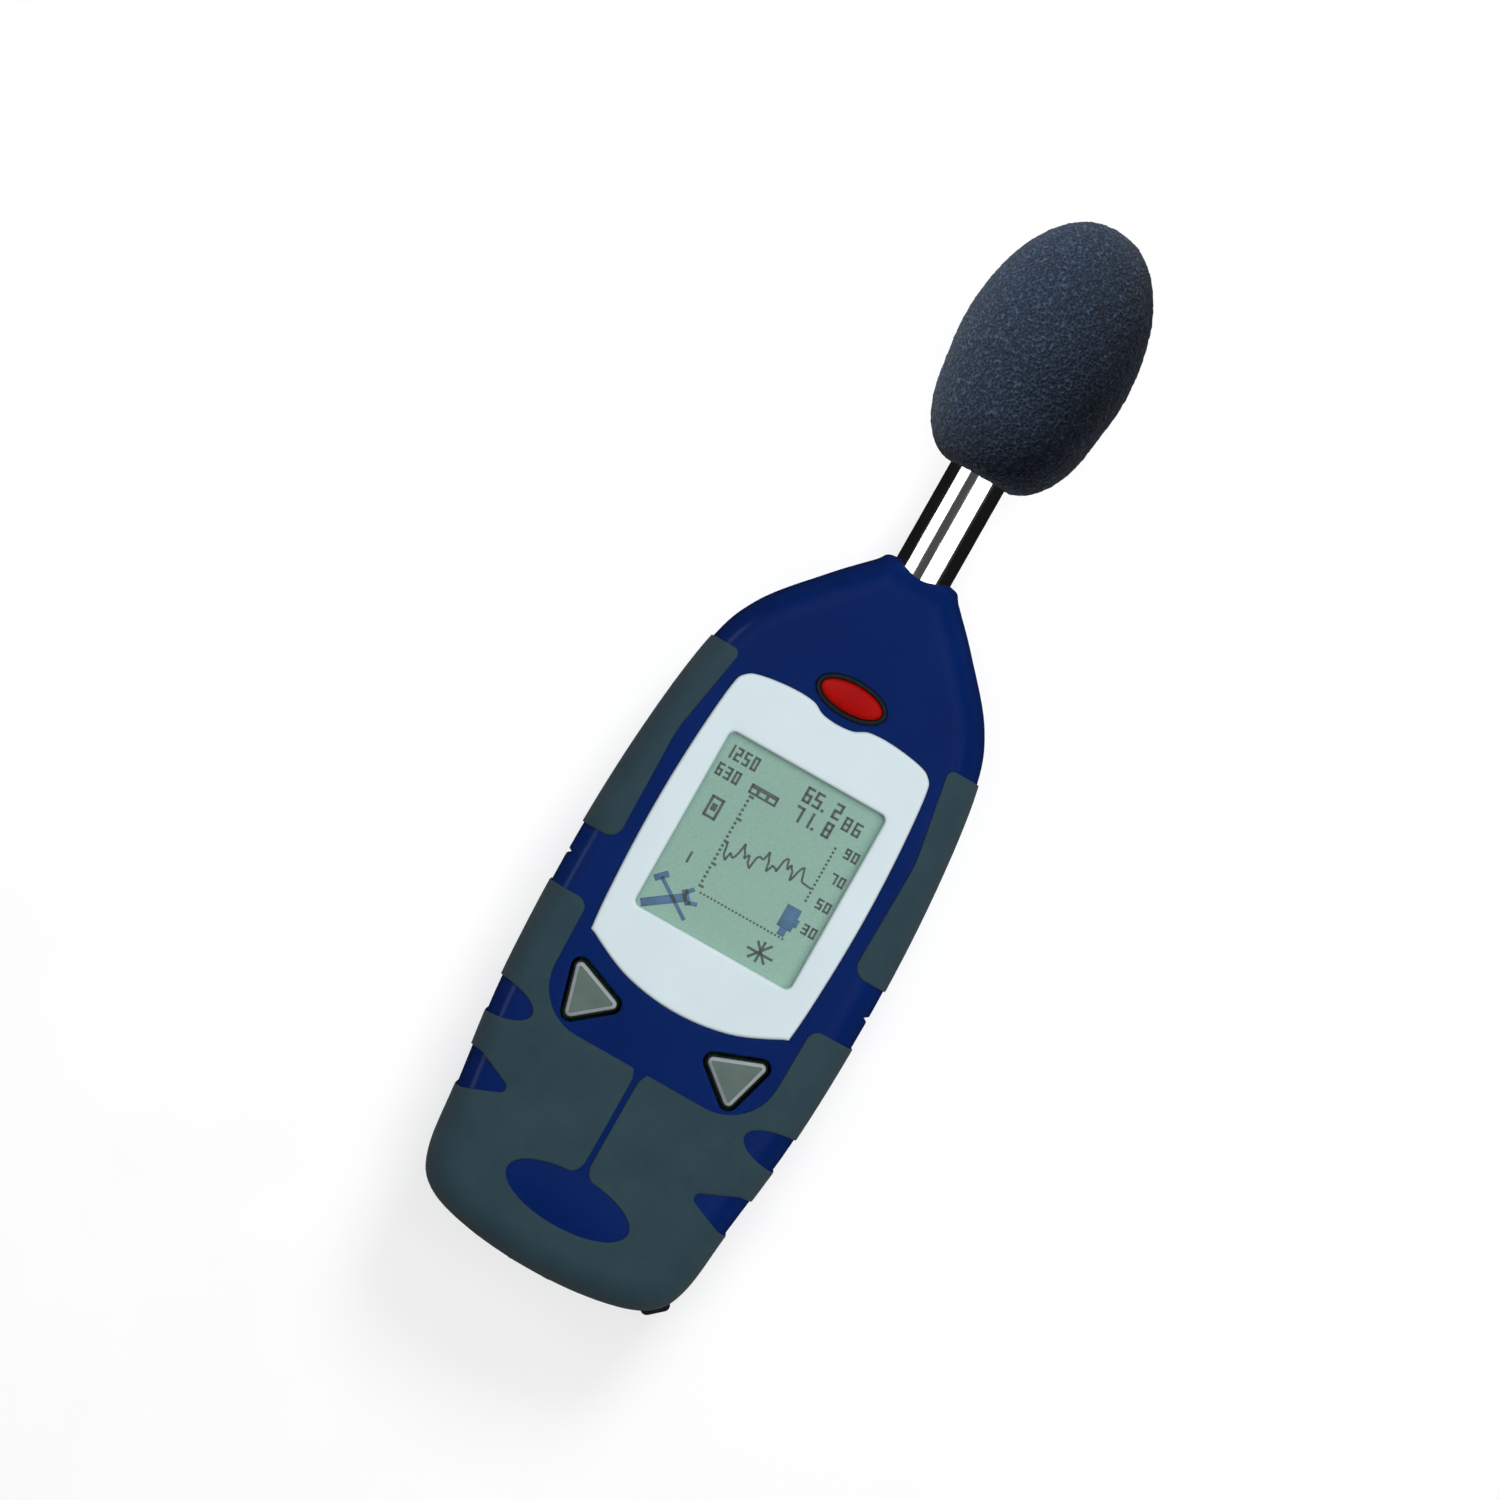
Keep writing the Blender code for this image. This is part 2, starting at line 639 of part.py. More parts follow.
def cut_door_bay(case):
    """The opening behind the battery door, with a lug at each end of the hinge and room for
    the open door beyond it."""
    low, high = DOOR_STATIONS
    half = DOOR_HALF_WIDTH / MM + 0.3
    combine(case, block(-half, half, low - FIT, high + FIT, -3 * MM, 3.15 * MM))
    barrel_radius, barrel_half = HINGE_BARREL
    pin_radius, pin_half = HINGE_PIN
    hinge = place(0, high, HINGE_Z)
    barrel_space = barrel_radius + 0.5 * MM
    space_half = barrel_half + 0.3
    combine(case, cylinder(barrel_space, 2 * space_half * MM, hinge, "X", 16))
    swing = high + barrel_space     # the open door stands on this side of the hinge
    combine(case, block(-space_half, space_half, high, swing, -3 * MM, HINGE_Z))
    for side in (-1, 1):
        x0, x1 = sorted((side * (barrel_half + 0.4), side * (half + 0.7)))
        lug = block(x0, x1, high - HINGE_LUG_DEPTH, high + 1.0 * MM, 0.5 * MM, 2.95 * MM)
        combine(case, lug, "UNION")
    combine(case, cylinder(pin_radius + FIT, 2 * (pin_half + 0.3) * MM, hinge, "X", 12))


# ---------------------------------------------------------------- display
def build_display():
    bezel = keep(prism(bezel_outline(), BEZEL_BASE, BEZEL_TOP), "bezel", WHITE)
    combine(bezel, centred_block(SCREEN_SIZE, 0.0, 25 * MM, 35 * MM))
    keep(centred_block(SCREEN_SIZE, -FIT, 30.0 * MM, 30.8 * MM), "display_window", CLEAR)
    keep(centred_block(GLASS_SIZE, 0.0, 27.8 * MM, 28.9 * MM), "lcd_glass", LCD)
    keep(centred_block(GLASS_SIZE, -0.2 * MM, 22.6 * MM, 27.5 * MM), "backlight", PTFE)
    frame = keep(centred_block(GLASS_SIZE, 3.0 * MM, 20.9 * MM, 27.2 * MM), "lcd_frame", BLACK)
    combine(frame, centred_block(GLASS_SIZE, 0.3 * MM, 22.3 * MM, 30 * MM))


def centred_block(size, grow, z0, z1):
    """A block centred on the display, each side moved out by grow."""
    half_x, half_y = (size[0] / 2 + grow) / MM, size[1] / 2 + grow
    return block(-half_x, half_x, SCREEN_CENTRE - half_y, SCREEN_CENTRE + half_y, z0, z1)


# ---------------------------------------------------------------- keys
def power_outline(gap=0.0):
    return ellipse(POWER_STATION, POWER_HALF[0] + gap, POWER_HALF[1] + gap)


def build_key(name, outline_at, look, x, station):
    """A key with its flange and stem in one piece, the rubber seal round it and its switch.
    outline_at(gap) gives the key's outline grown by gap."""
    cap = keep(prism(outline_at(0.0), FLANGE_Z[1] - 0.5 * MM, KEY_TOP), f"{name}_button", look)
    soften(cap, 0.5 * MM, 2, 60)
    combine(cap, prism(outline_at(FLANGE_REACH), *FLANGE_Z), "UNION")
    stem_base = SWITCH_Z[1] + KEY_TRAVEL + 0.15 * MM
    combine(cap, post(x, station / MM, stem_base, FLANGE_Z[0] + 0.5 * MM, 1.6 * MM), "UNION")
    seal = keep(prism(outline_at(FIT + SEAL_WIDTH), 28.6 * MM, 31.0 * MM), f"{name}_seal", BLACK)
    combine(seal, prism(outline_at(FIT), 25 * MM, 35 * MM))
    pivot(cap, place(x, station, KEY_TOP))
    half = 3.0
    switch = block(x - half, x + half, station - half * MM, station + half * MM, *SWITCH_Z)
    keep(switch, f"{name}_switch", BLACK)


def build_keys():
    build_key("power", power_outline, RED, 0.0, POWER_STATION)
    build_key("up", lambda gap: arrow_outline(-1, gap), GREY, -17.4, 55.7 * MM)
    build_key("down", lambda gap: arrow_outline(1, gap), GREY, 17.4, 55.7 * MM)


# ---------------------------------------------------------------- electronics
def build_electronics():
    board = rounded([(-17, 6.4, 1), (17, 6.4, 1), (17, 19, 1), (22.5, 19, 1), (22.5, 128, 3),
                     (12, 139.4, 2), (-12, 139.4, 2), (-22.5, 128, 3), (-22.5, 19, 1),
                     (-17, 19, 1)], 2)
    keep(prism(board, *BOARD_Z), "main_board", BOARD)
    top = BOARD_Z[1] + FIT
    keep(block(-6, 6, 32 * MM, 44 * MM, top, top + 1.6 * MM), "processor_chip", BLACK)
    keep(block(-4, 4, 127.4 * MM, 131.4 * MM, top, top + 1.4 * MM), "converter_chip", BLACK)
    clock_cell = cylinder(6.0 * MM, 3.2 * MM, place(0, 54.4 * MM, top + 1.6 * MM), sides=20)
    keep(clock_cell, "clock_cell", STEEL)


def bored_socket(name, body, bore):
    """A black socket body with a round bore from its front face."""
    socket = keep(block_of(body), name, BLACK)
    x, z, radius = bore
    mouth = body[1][0] * MM
    combine(socket, cylinder(radius * MM, 2 * SOCKET_BORE, place(x, mouth, z * MM), "Y", 16))
    return socket


def build_sockets():
    usb = keep(block_of(USB_SHELL), "usb_socket", STEEL)
    (x0, x1), (s0, s1), (z0, z1) = USB_SHELL
    sheet = 0.4
    combine(usb, block_of(((x0 + sheet, x1 - sheet), (s0 - 1, s1 - 2.6), (z0 + sheet, z1 - sheet))))
    bored_socket("output_jack", OUTPUT_BODY, OUTPUT_BORE)
    power = bored_socket("power_jack", POWER_BODY, POWER_BORE)
    x, z, _ = POWER_BORE
    floor = POWER_BODY[1][0] * MM + SOCKET_BORE
    pin = cylinder(POWER_PIN, 8 * MM, place(x, floor - 2.5 * MM, z * MM), "Y", 10)
    combine(power, pin, "UNION")


# ---------------------------------------------------------------- battery bay
def coil(x, start, end):
    """A conical contact spring along Y, wide end first, from X in metres."""
    turns, steps_per_turn = 2.5, 8
    wide, narrow = 3.2 * MM, 1.9 * MM
    steps = int(turns * steps_per_turn)
    points = []
    for i in range(steps + 1):
        share = i / steps
        angle = 2 * math.pi * turns * share
        radius = wide + (narrow - wide) * share
        y = STATION_ZERO + start + (end - start) * share
        points.append((x + radius * math.cos(angle), y, CELL_Z + radius * math.sin(angle)))
    return wire(points, SPRING_WIRE)


def cell_profile(start, end):
    """Section of an AA cell between two stations, its terminal at the far one."""
    nub, nub_height, chamfer = 2.6 * MM, 1.2 * MM, 0.6 * MM
    shoulder = end - nub_height
    return [
        (0.0, end), (nub, end), (nub, shoulder), (CELL_RADIUS - chamfer, shoulder),
        (CELL_RADIUS, shoulder - chamfer), (CELL_RADIUS, start + chamfer),
        (CELL_RADIUS - chamfer, start), (0.0, start),
    ]


def build_battery_bay():
    wall = TRAY_WALL / MM
    half = TRAY_HALF_WIDTH / MM
    tray = keep(block(-half, half, *TRAY_STATIONS, *TRAY_Z), "battery_tray", BLACK)
    combine(tray, block(wall - half, half - wall, TRAY_STATIONS[0] + TRAY_WALL,
                        TRAY_STATIONS[1] - TRAY_WALL, 0, TRAY_Z[1] - 0.9 * MM))
    low, high = PLATE_FACES
    spring_gap = FIT + SPRING_WIRE
    for number, column, flipped in ((1, -1, False), (2, 0, True), (3, 1, False)):
        x = column * CELL_PITCH
        start = low + FIT if flipped else high - FIT - CELL_LENGTH
        end = start + CELL_LENGTH
        cell = turned(cell_profile(start, end), 18, x, CELL_Z, closed=False, flip=flipped)
        keep(cell, f"battery_cell_{number}", CELL)
        if flipped:
            spring = coil(x, high - spring_gap, end + spring_gap)
        else:
            spring = coil(x, low + spring_gap, start - spring_gap)
        keep(spring, f"battery_spring_{number}", STEEL)
    bottom, top = low - PLATE_THICKNESS, high
    plates = [("terminal_plate_left", -19.6, -9.8, bottom), ("link_plate_bottom", -4.9, 19.6, bottom),
              ("link_plate_top", -19.6, 4.9, top), ("terminal_plate_right", 9.8, 19.6, top)]
    for name, x0, x1, edge in plates:
        keep(block(x0, x1, edge, edge + PLATE_THICKNESS, 5.2 * MM, 15.8 * MM), name, BRASS)


def build_battery_door():
    """The door's plate with its hinge barrel and pins at its upper edge, grip grooves and a
    finger notch near its lower one."""
    low, high = DOOR_STATIONS
    half = DOOR_HALF_WIDTH / MM
    underside = BACK_FLOOR
    door = keep(block(-half, half, low, high, underside, underside + DOOR_THICKNESS),
                "battery_door", BLUE)
    barrel_radius, barrel_half = HINGE_BARREL
    pin_radius, pin_half = HINGE_PIN
    hinge = place(0, high, HINGE_Z)
    lug_space = HINGE_LUG_DEPTH + 0.9 * MM
    for side in (-1, 1):
        x0, x1 = sorted((side * barrel_half, side * (half + 1)))
        combine(door, block(x0, x1, high - lug_space, high + 1 * MM, -1 * MM, 5 * MM))
    combine(door, cylinder(barrel_radius, 2 * barrel_half * MM, hinge, "X", 14), "UNION")
    combine(door, cylinder(pin_radius, 2 * pin_half * MM, hinge, "X", 10), "UNION")
    groove_count, groove_pitch, groove_width = 5, 2.4 * MM, 1.1 * MM
    for i in range(groove_count):
        station = 25 * MM + i * groove_pitch
        combine(door, block(-9, 9, station, station + groove_width, -1 * MM,
                            underside + 0.5 * MM))
    notch = ellipse(low, 6 * MM, 2.2 * MM, 12)
    combine(door, prism(notch, -1 * MM, underside + 0.9 * MM))
    pivot(door, hinge)


# ---------------------------------------------------------------- connector cover and lug
def build_connector_cover():
    half = COVER_HALF_WIDTH / MM
    cover = case_skin(-1, RUBBER_PROUD, RUBBER_PROUD + RUBBER_DEPTH)
    combine(cover, block(-half, half, -6 * MM, 9 * MM, COVER_Z[0], COVER_Z[1]), "INTERSECT")
    keep(cover, "connector_cover", RUBBER)
    pivot(cover, place(0, 0.0, COVER_Z[0]))


def lug_wire(radius, depth):
    """The strap lug's staple of wire, its legs reaching that deep (mm) under the surface."""
    corner = 0.8            # the bends, in millimetres
    half, rise = LUG_HALF, LUG_RISE
    left = [(-half, -depth), (-half, rise - corner), (-half + 0.3 * corner, rise - 0.3 * corner),
            (-half + corner, rise)]
    right = [(-along, out) for along, out in reversed(left)]
    foot = place(*LUG_FOOT)
    points = [foot + (LUG_ALONG * along + LUG_OUT * out) * MM for along, out in left + right]
    return wire(points, radius)


def build_strap_lug():
    """A staple of wire for the wrist strap, with a hollow in the rubber under it."""
    keep(lug_wire(LUG_WIRE, LUG_DEPTH), "strap_lug", BLACK)
    case, boot = bpy.data.objects["rear_case"], bpy.data.objects["rear_boot"]
    space = lug_wire(LUG_WIRE + FIT, LUG_DEPTH + 0.3)
    for holder in (case, boot):
        combine(holder, space)
    radius, height = LUG_RECESS
    combine(boot, cylinder(radius, height, place(*LUG_FOOT) + LUG_OUT * RUBBER_PROUD, sides=16))


# ---------------------------------------------------------------- fasteners and mounts
def build_screw(name, x, station, base):
    """A pan-head screw along Z with a cross recess, its head's underside at height base."""
    head, head_height = SCREW_HEAD
    shank, edge, point = SCREW_SHANK, 0.4 * MM, 1.2 * MM
    profile = [(0, SCREW_TIP), (shank / 2, SCREW_TIP), (shank, SCREW_TIP - point),
               (shank, base + head_height), (head, base + head_height), (head, base + edge),
               (head - edge, base), (0, base)]
    bm = bmesh.new()
    verts = [bm.verts.new((radius, 0, height)) for radius, height in profile]
    for pair in zip(verts, verts[1:]):
        bm.edges.new(pair)
    screw = object_of(bm)
    turn = screw.modifiers.new("turn", "SCREW")
    turn.steps = turn.render_steps = 12
    turn.use_merge_vertices = True
    turn.merge_threshold = 1e-6
    screw.location = place(x, station * MM, 0)
    arm, half_slot, depth = 1.2, 0.35, 0.8 * MM
    for reach_x, reach_y in ((arm, half_slot), (half_slot, arm)):
        combine(screw, block(x - reach_x, x + reach_x, (station - reach_y) * MM,
                             (station + reach_y) * MM, base - 1 * MM, base + depth))
    keep(screw, name, STEEL)


def build_fasteners():
    for number, (x, station, base) in enumerate(SCREWS, 1):
        build_screw(f"case_screw_{number}", x, station, base * MM)
    centre = place(0, TRIPOD_STATION, BACK_FLOOR + TRIPOD_DEPTH / 2)
    insert = cylinder(TRIPOD_OUTER, TRIPOD_DEPTH, centre, sides=20)
    combine(insert, cylinder(TRIPOD_BORE, 3 * TRIPOD_DEPTH, centre, sides=20))
    keep(insert, "tripod_insert", BRASS)


# ---------------------------------------------------------------- microphone
def ring_profile(outer, inner, start, end):
    return [(outer, end), (outer, start), (inner, start), (inner, end)]


def build_microphone():
    tube_end = 216.2 * MM
    tube = turned(ring_profile(TUBE_RADIUS, 5.4 * MM, 146 * MM, tube_end), 24)
    keep(tube, "preamp_tube", STEEL)
    keep(block(-4.6, 4.6, 148 * MM, 206 * MM, AXIS_Z - 0.6 * MM, AXIS_Z + 0.6 * MM),
         "preamp_board", BOARD)
    seal = turned(ring_profile(SEAL_OUTER, TUBE_RADIUS + FIT, *SEAL_STATIONS), 24)
    keep(seal, "tube_seal", BLACK)
    saddle = keep(block(-9, 9, 146.5 * MM, 152.5 * MM, 11.1 * MM, 19.0 * MM),
                  "tube_saddle", BLACK)
    way = cylinder(TUBE_RADIUS + FIT, 20 * MM, place(0, 150 * MM, AXIS_Z), "Y", 24)
    combine(saddle, way)
    ring_end = tube_end + 1.1 * MM
    insulator = turned(ring_profile(6.1 * MM, 4.6 * MM, tube_end + FIT, ring_end), 20)
    keep(insulator, "mic_insulator", PTFE)
    base, floor, rim = ring_end + FIT, 222.0 * MM, 226.0 * MM
    cup = [(0, floor), (5.2 * MM, floor), (5.2 * MM, rim), (TUBE_RADIUS, rim),
           (TUBE_RADIUS, base), (0, base)]
    keep(turned(cup, 24, closed=False), "mic_capsule", STEEL)
    diaphragm = cylinder(5.9 * MM, 0.3 * MM, place(0, rim + 0.45 * MM, AXIS_Z), "Y", 24)
    keep(diaphragm, "mic_diaphragm", BRASS)
    skirt, ceiling = rim + 0.9 * MM, MIC_TIP - 0.9 * MM
    cap = [(0, MIC_TIP), (6.0 * MM, MIC_TIP), (TUBE_RADIUS, MIC_TIP - 0.5 * MM),
           (TUBE_RADIUS, skirt), (5.2 * MM, skirt), (5.2 * MM, ceiling), (0, ceiling)]
    grid = turned(cap, 24, closed=False)
    for x, reach in ((-2.8, 2.6 * MM), (0.0, 3.6 * MM), (2.8, 2.6 * MM)):
        combine(grid, block(x - 0.55, x + 0.55, 225 * MM, 235 * MM, AXIS_Z - reach, AXIS_Z + reach))
    keep(grid, "mic_grid", STEEL)


def build_windscreen():
    """Foam ovoid, rounder at its far end, with a blind bore for the microphone."""
    bore = (TUBE_RADIUS + FIT) / MM
    base = WINDSCREEN[-1][1]
    inner = [(bore, base), (bore, WINDSCREEN_BORE_END), (0.0, WINDSCREEN_BORE_END)]
    profile = [(radius * MM, station * MM) for radius, station in WINDSCREEN + inner]
    keep(turned(profile, 24, closed=False), "windscreen", FOAM)


# ---------------------------------------------------------------- assembly
build_front()
build_back()
build_display()
build_keys()
build_electronics()
build_sockets()
build_battery_bay()
build_battery_door()
build_connector_cover()
build_strap_lug()
build_fasteners()
build_microphone()
build_windscreen()
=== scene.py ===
import math

import bmesh
import bpy
import numpy as np
from mathutils import Matrix, Vector, noise
from mathutils.geometry import delaunay_2d_cdt


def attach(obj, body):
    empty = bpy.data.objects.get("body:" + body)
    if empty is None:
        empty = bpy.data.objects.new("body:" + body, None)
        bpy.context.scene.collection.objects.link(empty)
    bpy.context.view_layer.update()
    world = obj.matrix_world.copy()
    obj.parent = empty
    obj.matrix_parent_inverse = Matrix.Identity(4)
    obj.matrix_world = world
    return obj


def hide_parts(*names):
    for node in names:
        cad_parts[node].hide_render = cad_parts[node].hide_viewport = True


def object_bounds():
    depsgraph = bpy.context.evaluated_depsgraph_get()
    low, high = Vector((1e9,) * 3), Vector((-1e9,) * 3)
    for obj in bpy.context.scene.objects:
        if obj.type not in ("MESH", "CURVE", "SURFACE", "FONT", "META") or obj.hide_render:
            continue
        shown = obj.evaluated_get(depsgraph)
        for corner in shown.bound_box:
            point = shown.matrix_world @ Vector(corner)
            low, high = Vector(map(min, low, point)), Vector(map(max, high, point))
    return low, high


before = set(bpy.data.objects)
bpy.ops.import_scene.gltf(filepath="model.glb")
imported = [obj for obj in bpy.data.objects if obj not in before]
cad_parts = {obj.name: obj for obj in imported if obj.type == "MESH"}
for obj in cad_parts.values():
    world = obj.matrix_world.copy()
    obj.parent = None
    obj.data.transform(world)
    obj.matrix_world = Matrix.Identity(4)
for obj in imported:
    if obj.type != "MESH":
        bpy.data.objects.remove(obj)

CAD_LOW, CAD_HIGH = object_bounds()

# Looks of the handheld sound level meter. The meter lies on its back: +Z comes out of the
# display, +Y runs towards the microphone. Lengths here are in millimetres, and a place along
# the body is its station, the distance from the body's bottom end.
MM = 0.001
STATION_ZERO = -123.5       # Y of station zero
AXIS_Z = 19.4               # microphone axis and parting plane
BODY_LENGTH = 165.6
FRONT_TOP = 30.6
BACK_FLOOR = 0.4
NOSE_RADIUS = 8.6
RUBBER_PROUD = 0.4
CROWN = 0.4
EDGES = {1: (7.0, 7.5), -1: (5.0, 6.0)}     # inset and rise of the front and back edges
TUBE_RADIUS = 6.35
SEAM = 0.08                 # half the gap seen at the parting plane
HALF_OUTLINE = [
    (0.0, 0.4), (15.0, 1.6), (25.6, 5.0), (30.0, 11.8), (31.9, 27.0), (34.7, 51.0), (35.6, 80.0),
    (34.6, 107.0), (31.7, 131.0), (27.1, 143.4), (17.2, 155.4), (9.9, 163.0), (7.5, 165.4),
    (0.0, 165.6),
]


# ---------------------------------------------------------------- flat outlines
def curved(a, b, c, d, t):
    """Catmull-Rom point at share t of the way from b to c."""
    return 0.5 * (2 * b + (c - a) * t + (2 * a - 5 * b + 4 * c - d) * t ** 2
            + (3 * b - a - 3 * c + d) * t ** 3)


def smooth_loop(points, steps):
    """A closed curve through the points."""
    points = np.array(points, float)
    before, after, beyond = (np.roll(points, turn, axis=0) for turn in (1, -1, -2))
    loop = [curved(before, points, after, beyond, step / steps) for step in range(steps)]
    return np.stack(loop, axis=1).reshape(-1, 2)


def smooth_strip(points, steps=6):
    """An open curve through the points."""
    points = np.array(points, float)
    padded = np.vstack([2 * points[0] - points[1], points, 2 * points[-1] - points[-2]])
    spans = zip(padded, padded[1:], padded[2:], padded[3:])
    out = [curved(*span, step / steps) for span in spans for step in range(steps)]
    return [tuple(p) for p in [*out, points[-1]]]


def lengths_along(points):
    """How far along the line each of its points lies."""
    return np.concatenate([[0.0], np.cumsum(np.linalg.norm(np.diff(points, axis=0), axis=1))])


def resampled(loop, spacing):
    """The closed loop with points evenly along it, about that far apart."""
    closed = np.vstack([loop, loop[:1]])
    length = lengths_along(closed)
    count = max(8, int(round(length[-1] / spacing)))
    at = np.linspace(0, length[-1], count, endpoint=False)
    return np.stack([np.interp(at, length, closed[:, k]) for k in (0, 1)], axis=1)


def divided(loop, spacing):
    """The closed loop with its long edges divided, its own points kept."""
    loop = np.array(loop, float)
    out = []
    for start, end in zip(loop, np.roll(loop, -1, axis=0)):
        pieces = max(1, math.ceil(np.linalg.norm(end - start) / spacing))
        out += [start + (end - start) * i / pieces for i in range(pieces)]
    return np.array(out)


def grown(loop, distance):
    """The counterclockwise loop moved outwards by a small distance, with mitred corners."""
    points = np.array(loop, float)
    edge = np.roll(points, -1, axis=0) - points
    edge /= np.linalg.norm(edge, axis=1)[:, None]
    after = np.stack([edge[:, 1], -edge[:, 0]], axis=1)
    before = np.roll(after, 1, axis=0)
    mitre = (before + after) / np.maximum(1 + (before * after).sum(axis=1), 0.3)[:, None]
    return points + mitre * distance


def rounded(corners, steps=10):
    """A counterclockwise polygon from (X, station, rounding) corners."""
    count = len(corners)
    loop = []
    for i, (x, s, radius) in enumerate(corners):
        corner = Vector((x, s))
        if not radius:
            loop.append(corner)
            continue
        to_last = (Vector(corners[i - 1][:2]) - corner).normalized()
        to_next = (Vector(corners[(i + 1) % count][:2]) - corner).normalized()
        half = to_last.angle(to_next) / 2
        reach = radius / math.tan(half)
        centre = corner + (to_last + to_next).normalized() * radius / math.sin(half)
        start = corner + to_last * reach - centre
        sweep = (corner + to_next * reach - centre).angle_signed(start)
        for step in range(steps + 1):
            loop.append(centre + Matrix.Rotation(sweep * step / steps, 2) @ start)
    return np.array([tuple(p) for p in loop])


def ellipse(x, s, half_x, half_s, steps=96):
    angle = np.linspace(0, 2 * math.pi, steps, endpoint=False)
    return np.stack([x + half_x * np.cos(angle), s + half_s * np.sin(angle)], axis=1)


def rectangle(x0, x1, s0, s1, radius=0.0):
    return rounded([(x0, s0, radius), (x1, s0, radius), (x1, s1, radius), (x0, s1, radius)], 6)


def mirrored(loop):
    return np.array(loop)[::-1] * (-1, 1)


def chunks(points, size=4000):
    return (points[i:i + size] for i in range(0, len(points), size))


def inside(points, loop):
    """Whether each point is inside the loop."""
    x0, y0 = np.array(loop).T
    x1, y1 = np.roll(loop, -1, axis=0).T
    run = np.where(y1 == y0, 1.0, y1 - y0)
    found = []
    for some in chunks(np.asarray(points, float)):
        x, y = some[:, :1], some[:, 1:2]
        crosses = ((y0 > y) != (y1 > y)) & (x < (x1 - x0) * (y - y0) / run + x0)
        found.append(crosses.sum(axis=1) % 2 == 1)
    return np.concatenate(found)


def distance(points, starts, ends):
    """Distance from each point to the nearest of the segments."""
    if not len(starts):
        return np.full(len(points), 1e3)
    along = ends - starts
    length = (along ** 2).sum(axis=1)
    found = []
    for some in chunks(np.asarray(points, float), 2000):
        gap = some[:, None, :] - starts
        t = np.clip((gap * along).sum(axis=2) / length, 0, 1)
        found.append(np.linalg.norm(gap - along * t[:, :, None], axis=2).min(axis=1))
    return np.concatenate(found)


def triangles(points, edges, tolerance=1e-7):
    """Constrained Delaunay triangles, counterclockwise, with the points they use."""
    verts, _, faces, *_ = delaunay_2d_cdt([Vector(p) for p in points], edges, [], 0, tolerance)
    verts = np.array([tuple(v) for v in verts])
    faces = np.array([f for f in faces if len(f) == 3])
    a, b, c = (verts[faces[:, k]] for k in range(3))
    area = (b[:, 0] - a[:, 0]) * (c[:, 1] - a[:, 1]) - (b[:, 1] - a[:, 1]) * (c[:, 0] - a[:, 0])
    faces[area < 0] = faces[area < 0][:, ::-1]
    return verts, faces[np.abs(area) > 1e-12]


def rim_edges(faces):
    """Directed edges that only one of the triangles has."""
    seen = {}
    for face in faces:
        for k in range(3):
            seen[(face[k], face[(k + 1) % 3])] = True
    return [edge for edge in seen if (edge[1], edge[0]) not in seen]


REGION_SPACING = 0.9        # longest edge of a region's loops


def region(outlines, chosen):
    """Loops round the area where chosen(points) holds. The outlines may cross."""
    points, edges = [], []
    for outline in outlines:
        base, count = len(points), len(outline)
        points += [tuple(p) for p in outline]
        edges += [(base + i, base + (i + 1) % count) for i in range(count)]
    verts, faces = triangles(points, edges, 1e-5)
    faces = faces[chosen(verts[faces].mean(axis=1))]
    following = dict(rim_edges(faces))
    loops = []
    while following:
        start, at = following.popitem()
        loop = [start]
        while at != start:
            loop.append(at)
            at = following.pop(at)
        if len(loop) > 4:
            loops.append(divided(tidied(verts[loop]), REGION_SPACING))
    return loops


def tidied(loop):
    """The loop without points that crowd the one before."""
    kept = [loop[0]]
    for point in loop[1:]:
        if np.linalg.norm(point - kept[-1]) > 0.02:
            kept.append(point)
    return np.array(kept)


# ---------------------------------------------------------------- meshes
def placed(name, data):
    """A new object with that data, in the scene."""
    obj = bpy.data.objects.new(name, data)
    bpy.context.scene.collection.objects.link(obj)
    return obj


def settled(obj):
    """A mesh of the object with its modifiers or its curve worked out."""
    graph = bpy.context.evaluated_depsgraph_get()
    return bpy.data.meshes.new_from_object(obj.evaluated_get(graph))


def made(name, verts, faces, smooth=35):
    """A mesh object from points in millimetres with stations, in the frame."""
    verts = np.array(verts, float) * MM
    verts[:, 1] += STATION_ZERO * MM
    mesh = bpy.data.meshes.new(name)
    mesh.from_pydata(verts.tolist(), [], [list(map(int, f)) for f in faces])
    mesh.validate()
    mesh.shade_smooth()
    if smooth:
        mesh.set_sharp_from_angle(angle=math.radians(smooth))
    return placed(name, mesh)


def quarter_drop(gap, radius):
    """How far a rounded edge has dropped at that distance from it."""
    share = np.clip(1 - gap / radius, 0, 1)
    return radius * (1 - np.sqrt(1 - share ** 2))


def hex_grid(low, high, spacing):
    rows = []
    for row, y in enumerate(np.arange(low[1], high[1], spacing * 0.866)):
        x = np.arange(low[0] + (row % 2) * spacing / 2, high[0], spacing)
        rows.append(np.stack([x, np.full(len(x), y)], axis=1))
    return np.vstack(rows)


